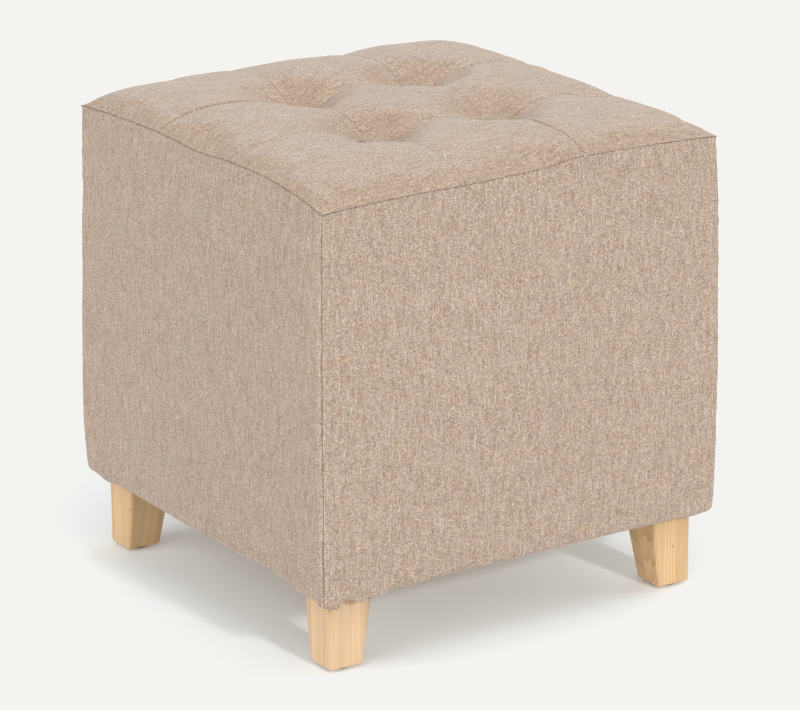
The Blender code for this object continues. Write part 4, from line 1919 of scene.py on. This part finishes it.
@dataclass
class Studio:
    """A plain pale floor under soft, even light, with one harder light from the front."""

    floor: StudioFloor
    lights: tuple[SoftSun, ...]
    world_strength: float = 0.03
    floor_half: float = 30.0
    paper_white: tuple[float, float, float] = (0.905, 0.896, 0.863)
    film_blur: float = 1.05

    def build(self) -> None:
        """Lay the floor, hang the lights and set the plain colour rendering."""
        bm = bmesh.new()
        bmesh.ops.create_grid(bm, x_segments=1, y_segments=1, size=self.floor_half)
        mesh = bpy.data.meshes.new("studio_floor")
        bm.to_mesh(mesh)
        bm.free()
        mesh.materials.append(self.floor.make("studio_floor_paint"))
        place_object("studio_floor", mesh)
        for light in self.lights:
            light.build()
        world = bpy.data.worlds.new("studio_air")
        world.use_nodes = True
        air = world.node_tree.nodes["Background"].inputs
        air["Color"].default_value = (1.0, 0.995, 0.985, 1.0)
        air["Strength"].default_value = self.world_strength
        bpy.context.scene.world = world
        self._set_tones()

    def _set_tones(self) -> None:
        """Let the brightest tone print as the warm white of paper, and everything under it in proportion."""
        view = bpy.context.scene.view_settings
        view.view_transform = "Standard"
        view.use_curve_mapping = True
        mapping = view.curve_mapping
        mapping.extend = "HORIZONTAL"
        for curve, white in zip(mapping.curves, self.paper_white):
            curve.points[-1].location = (1.0, white)
        mapping.update()
        bpy.context.scene.cycles.pixel_filter_width = self.film_blur


@dataclass(frozen=True)
class StoolCamera:
    """A long lens, a little above the stool and turned towards its front left corner."""

    azimuth: float = -33.2733
    elevation: float = 17.7521
    tilt: float = -0.2494
    distance: float = 2.941
    lens: float = 162.0
    sensor: float = 36.0
    aim: tuple[float, float, float] = (0.0, 0.0, 0.2127)
    aside: float = 0.0046
    above: float = -0.0295

    def build(self) -> None:
        """Set up the camera and make it the scene's."""
        azimuth, elevation = math.radians(self.azimuth), math.radians(self.elevation)
        flat = math.cos(elevation)
        back = Vector((math.sin(azimuth) * flat, -math.cos(azimuth) * flat, math.sin(elevation)))
        level = Vector((0.0, 0.0, 1.0)).cross(back).normalized()
        over = back.cross(level)
        tilt = math.radians(self.tilt)
        right = level * math.cos(tilt) + over * math.sin(tilt)
        up = over * math.cos(tilt) - level * math.sin(tilt)
        place = Vector(self.aim) + right * self.aside + up * self.above + back * self.distance
        data = bpy.data.cameras.new("camera")
        data.lens = self.lens
        data.sensor_width = self.sensor
        camera = place_object("camera", data)
        turn = Matrix((right, up, back)).transposed().to_4x4()
        camera.matrix_world = Matrix.Translation(place) @ turn
        bpy.context.scene.camera = camera


# ---------------------------------------------------------------------------------------------------------


def leg_woods() -> tuple[PineWood, ...]:
    """Choose the legs' pieces of pine.

    Returns:
        One finish for each leg, from the front left corner onwards.
    """
    right_knots = ((0.1565, -0.1740, 0.0358), (0.1437, -0.1515, 0.0121))
    left_knots = ((-0.1740, 0.1399, 0.0398), (-0.1637, 0.1414, 0.0062))
    return (
        PineWood((-0.120, -0.230), (-0.3284, -0.3205), (1.01, 0.97, 0.94), 0.0060, 0.45),
        PineWood((0.050, -0.155), (-0.0260, -0.0140), (1.00, 0.93, 0.80), 0.0031, 0.95, right_knots),
        PineWood((0.150, 0.260), (0.3200,), (1.00, 0.94, 0.84), 0.0040, 0.70),
        PineWood((-0.215, 0.090), (-0.0190, -0.0065), (0.97, 0.90, 0.77), 0.0048, 0.45, left_knots),
    )


def sew_cover() -> None:
    """Build the top, the side panels, the buttons and the threads."""
    cover = CoverShape()
    left, right = cover.cross_seam_x
    front, back = cover.cross_seam_y
    pits = (
        Pit(left, front, 0.3785, 61),
        Pit(right, front, 0.3800, 62),
        Pit(right, back, 0.3820, 63),
        Pit(left, back, 0.3790, 64),
    )
    # The top's cloth carries painted light and shade.
    top_cloth = MelangeCloth(SlubRun.ACROSS, light_painted=True, fleck_share=0.66, slub_share=0.80)
    top = QuiltedTop(cover, top_cloth, Filling(), pits)
    top_piece = top.build()
    panels = [SidePanel(side, cover, MelangeCloth(SlubRun.UPRIGHT)) for side in Side]
    for panel in panels:
        panel.build()
    for corner in Corner:
        # The buttons' cloth has a darker tone: painted shade of the dimples they sit in.
        TuftButton(corner, MelangeCloth(SlubRun.ACROSS, tone=0.94)).build()
    # The perimeter and corner stitches' thread is dark brown: partly its own colour, partly painted shade of
    # the seam grooves it lies in.
    coarse = SeamStitching(SewingThread((0.240, 0.182, 0.142)))
    coarse.build("perimeter_stitches", [panel.seam_path() for panel in panels])
    coarse.build("corner_stitches", [panel.corner_path() for panel in panels])
    # The cross seams' thread is dark brown: partly its own colour, partly painted shade of the channels it
    # lies in.
    fine = SeamStitching(SewingThread((0.215, 0.160, 0.122)), length=0.0022, radius=0.00024)
    fine.build("cross_seam_stitches", top.cross_seam_paths(top_piece))
    LooseThreads(SewingThread((0.860, 0.820, 0.760))).build("loose_threads", top_piece)


def main() -> None:
    """Build the stool's pieces and the studio round them."""
    logging.basicConfig(level=logging.INFO, format="%(name)s %(message)s")
    StoolCamera().build()
    sew_cover()
    for corner, wood in zip(Corner, leg_woods()):
        TaperedLeg(corner, wood).build()
        glide = f"glide_{corner.name.lower()}"
        dress_node(glide, MouldedPlastic().make(glide))
    dress_node("base_board", BoardWood().make("base_board"))
    lights = (
        SoftSun("key", 3.0, 26.6, 0.46, 5.0),
        SoftSun("front_fill", -33.0, 45.0, 0.28, 60.0),
        SoftSun("left_fill", -90.0, 25.0, 0.57, 60.0),
        SoftSun("right_fill", 90.0, 25.0, 0.50, 60.0),
        SoftSun("back_fill", 150.0, 45.0, 0.20, 60.0),
        SoftSun("overhead", 0.0, 88.0, 0.24, 60.0),
    )
    Studio(StudioFloor(), lights).build()


if __name__ == "__main__":
    main()
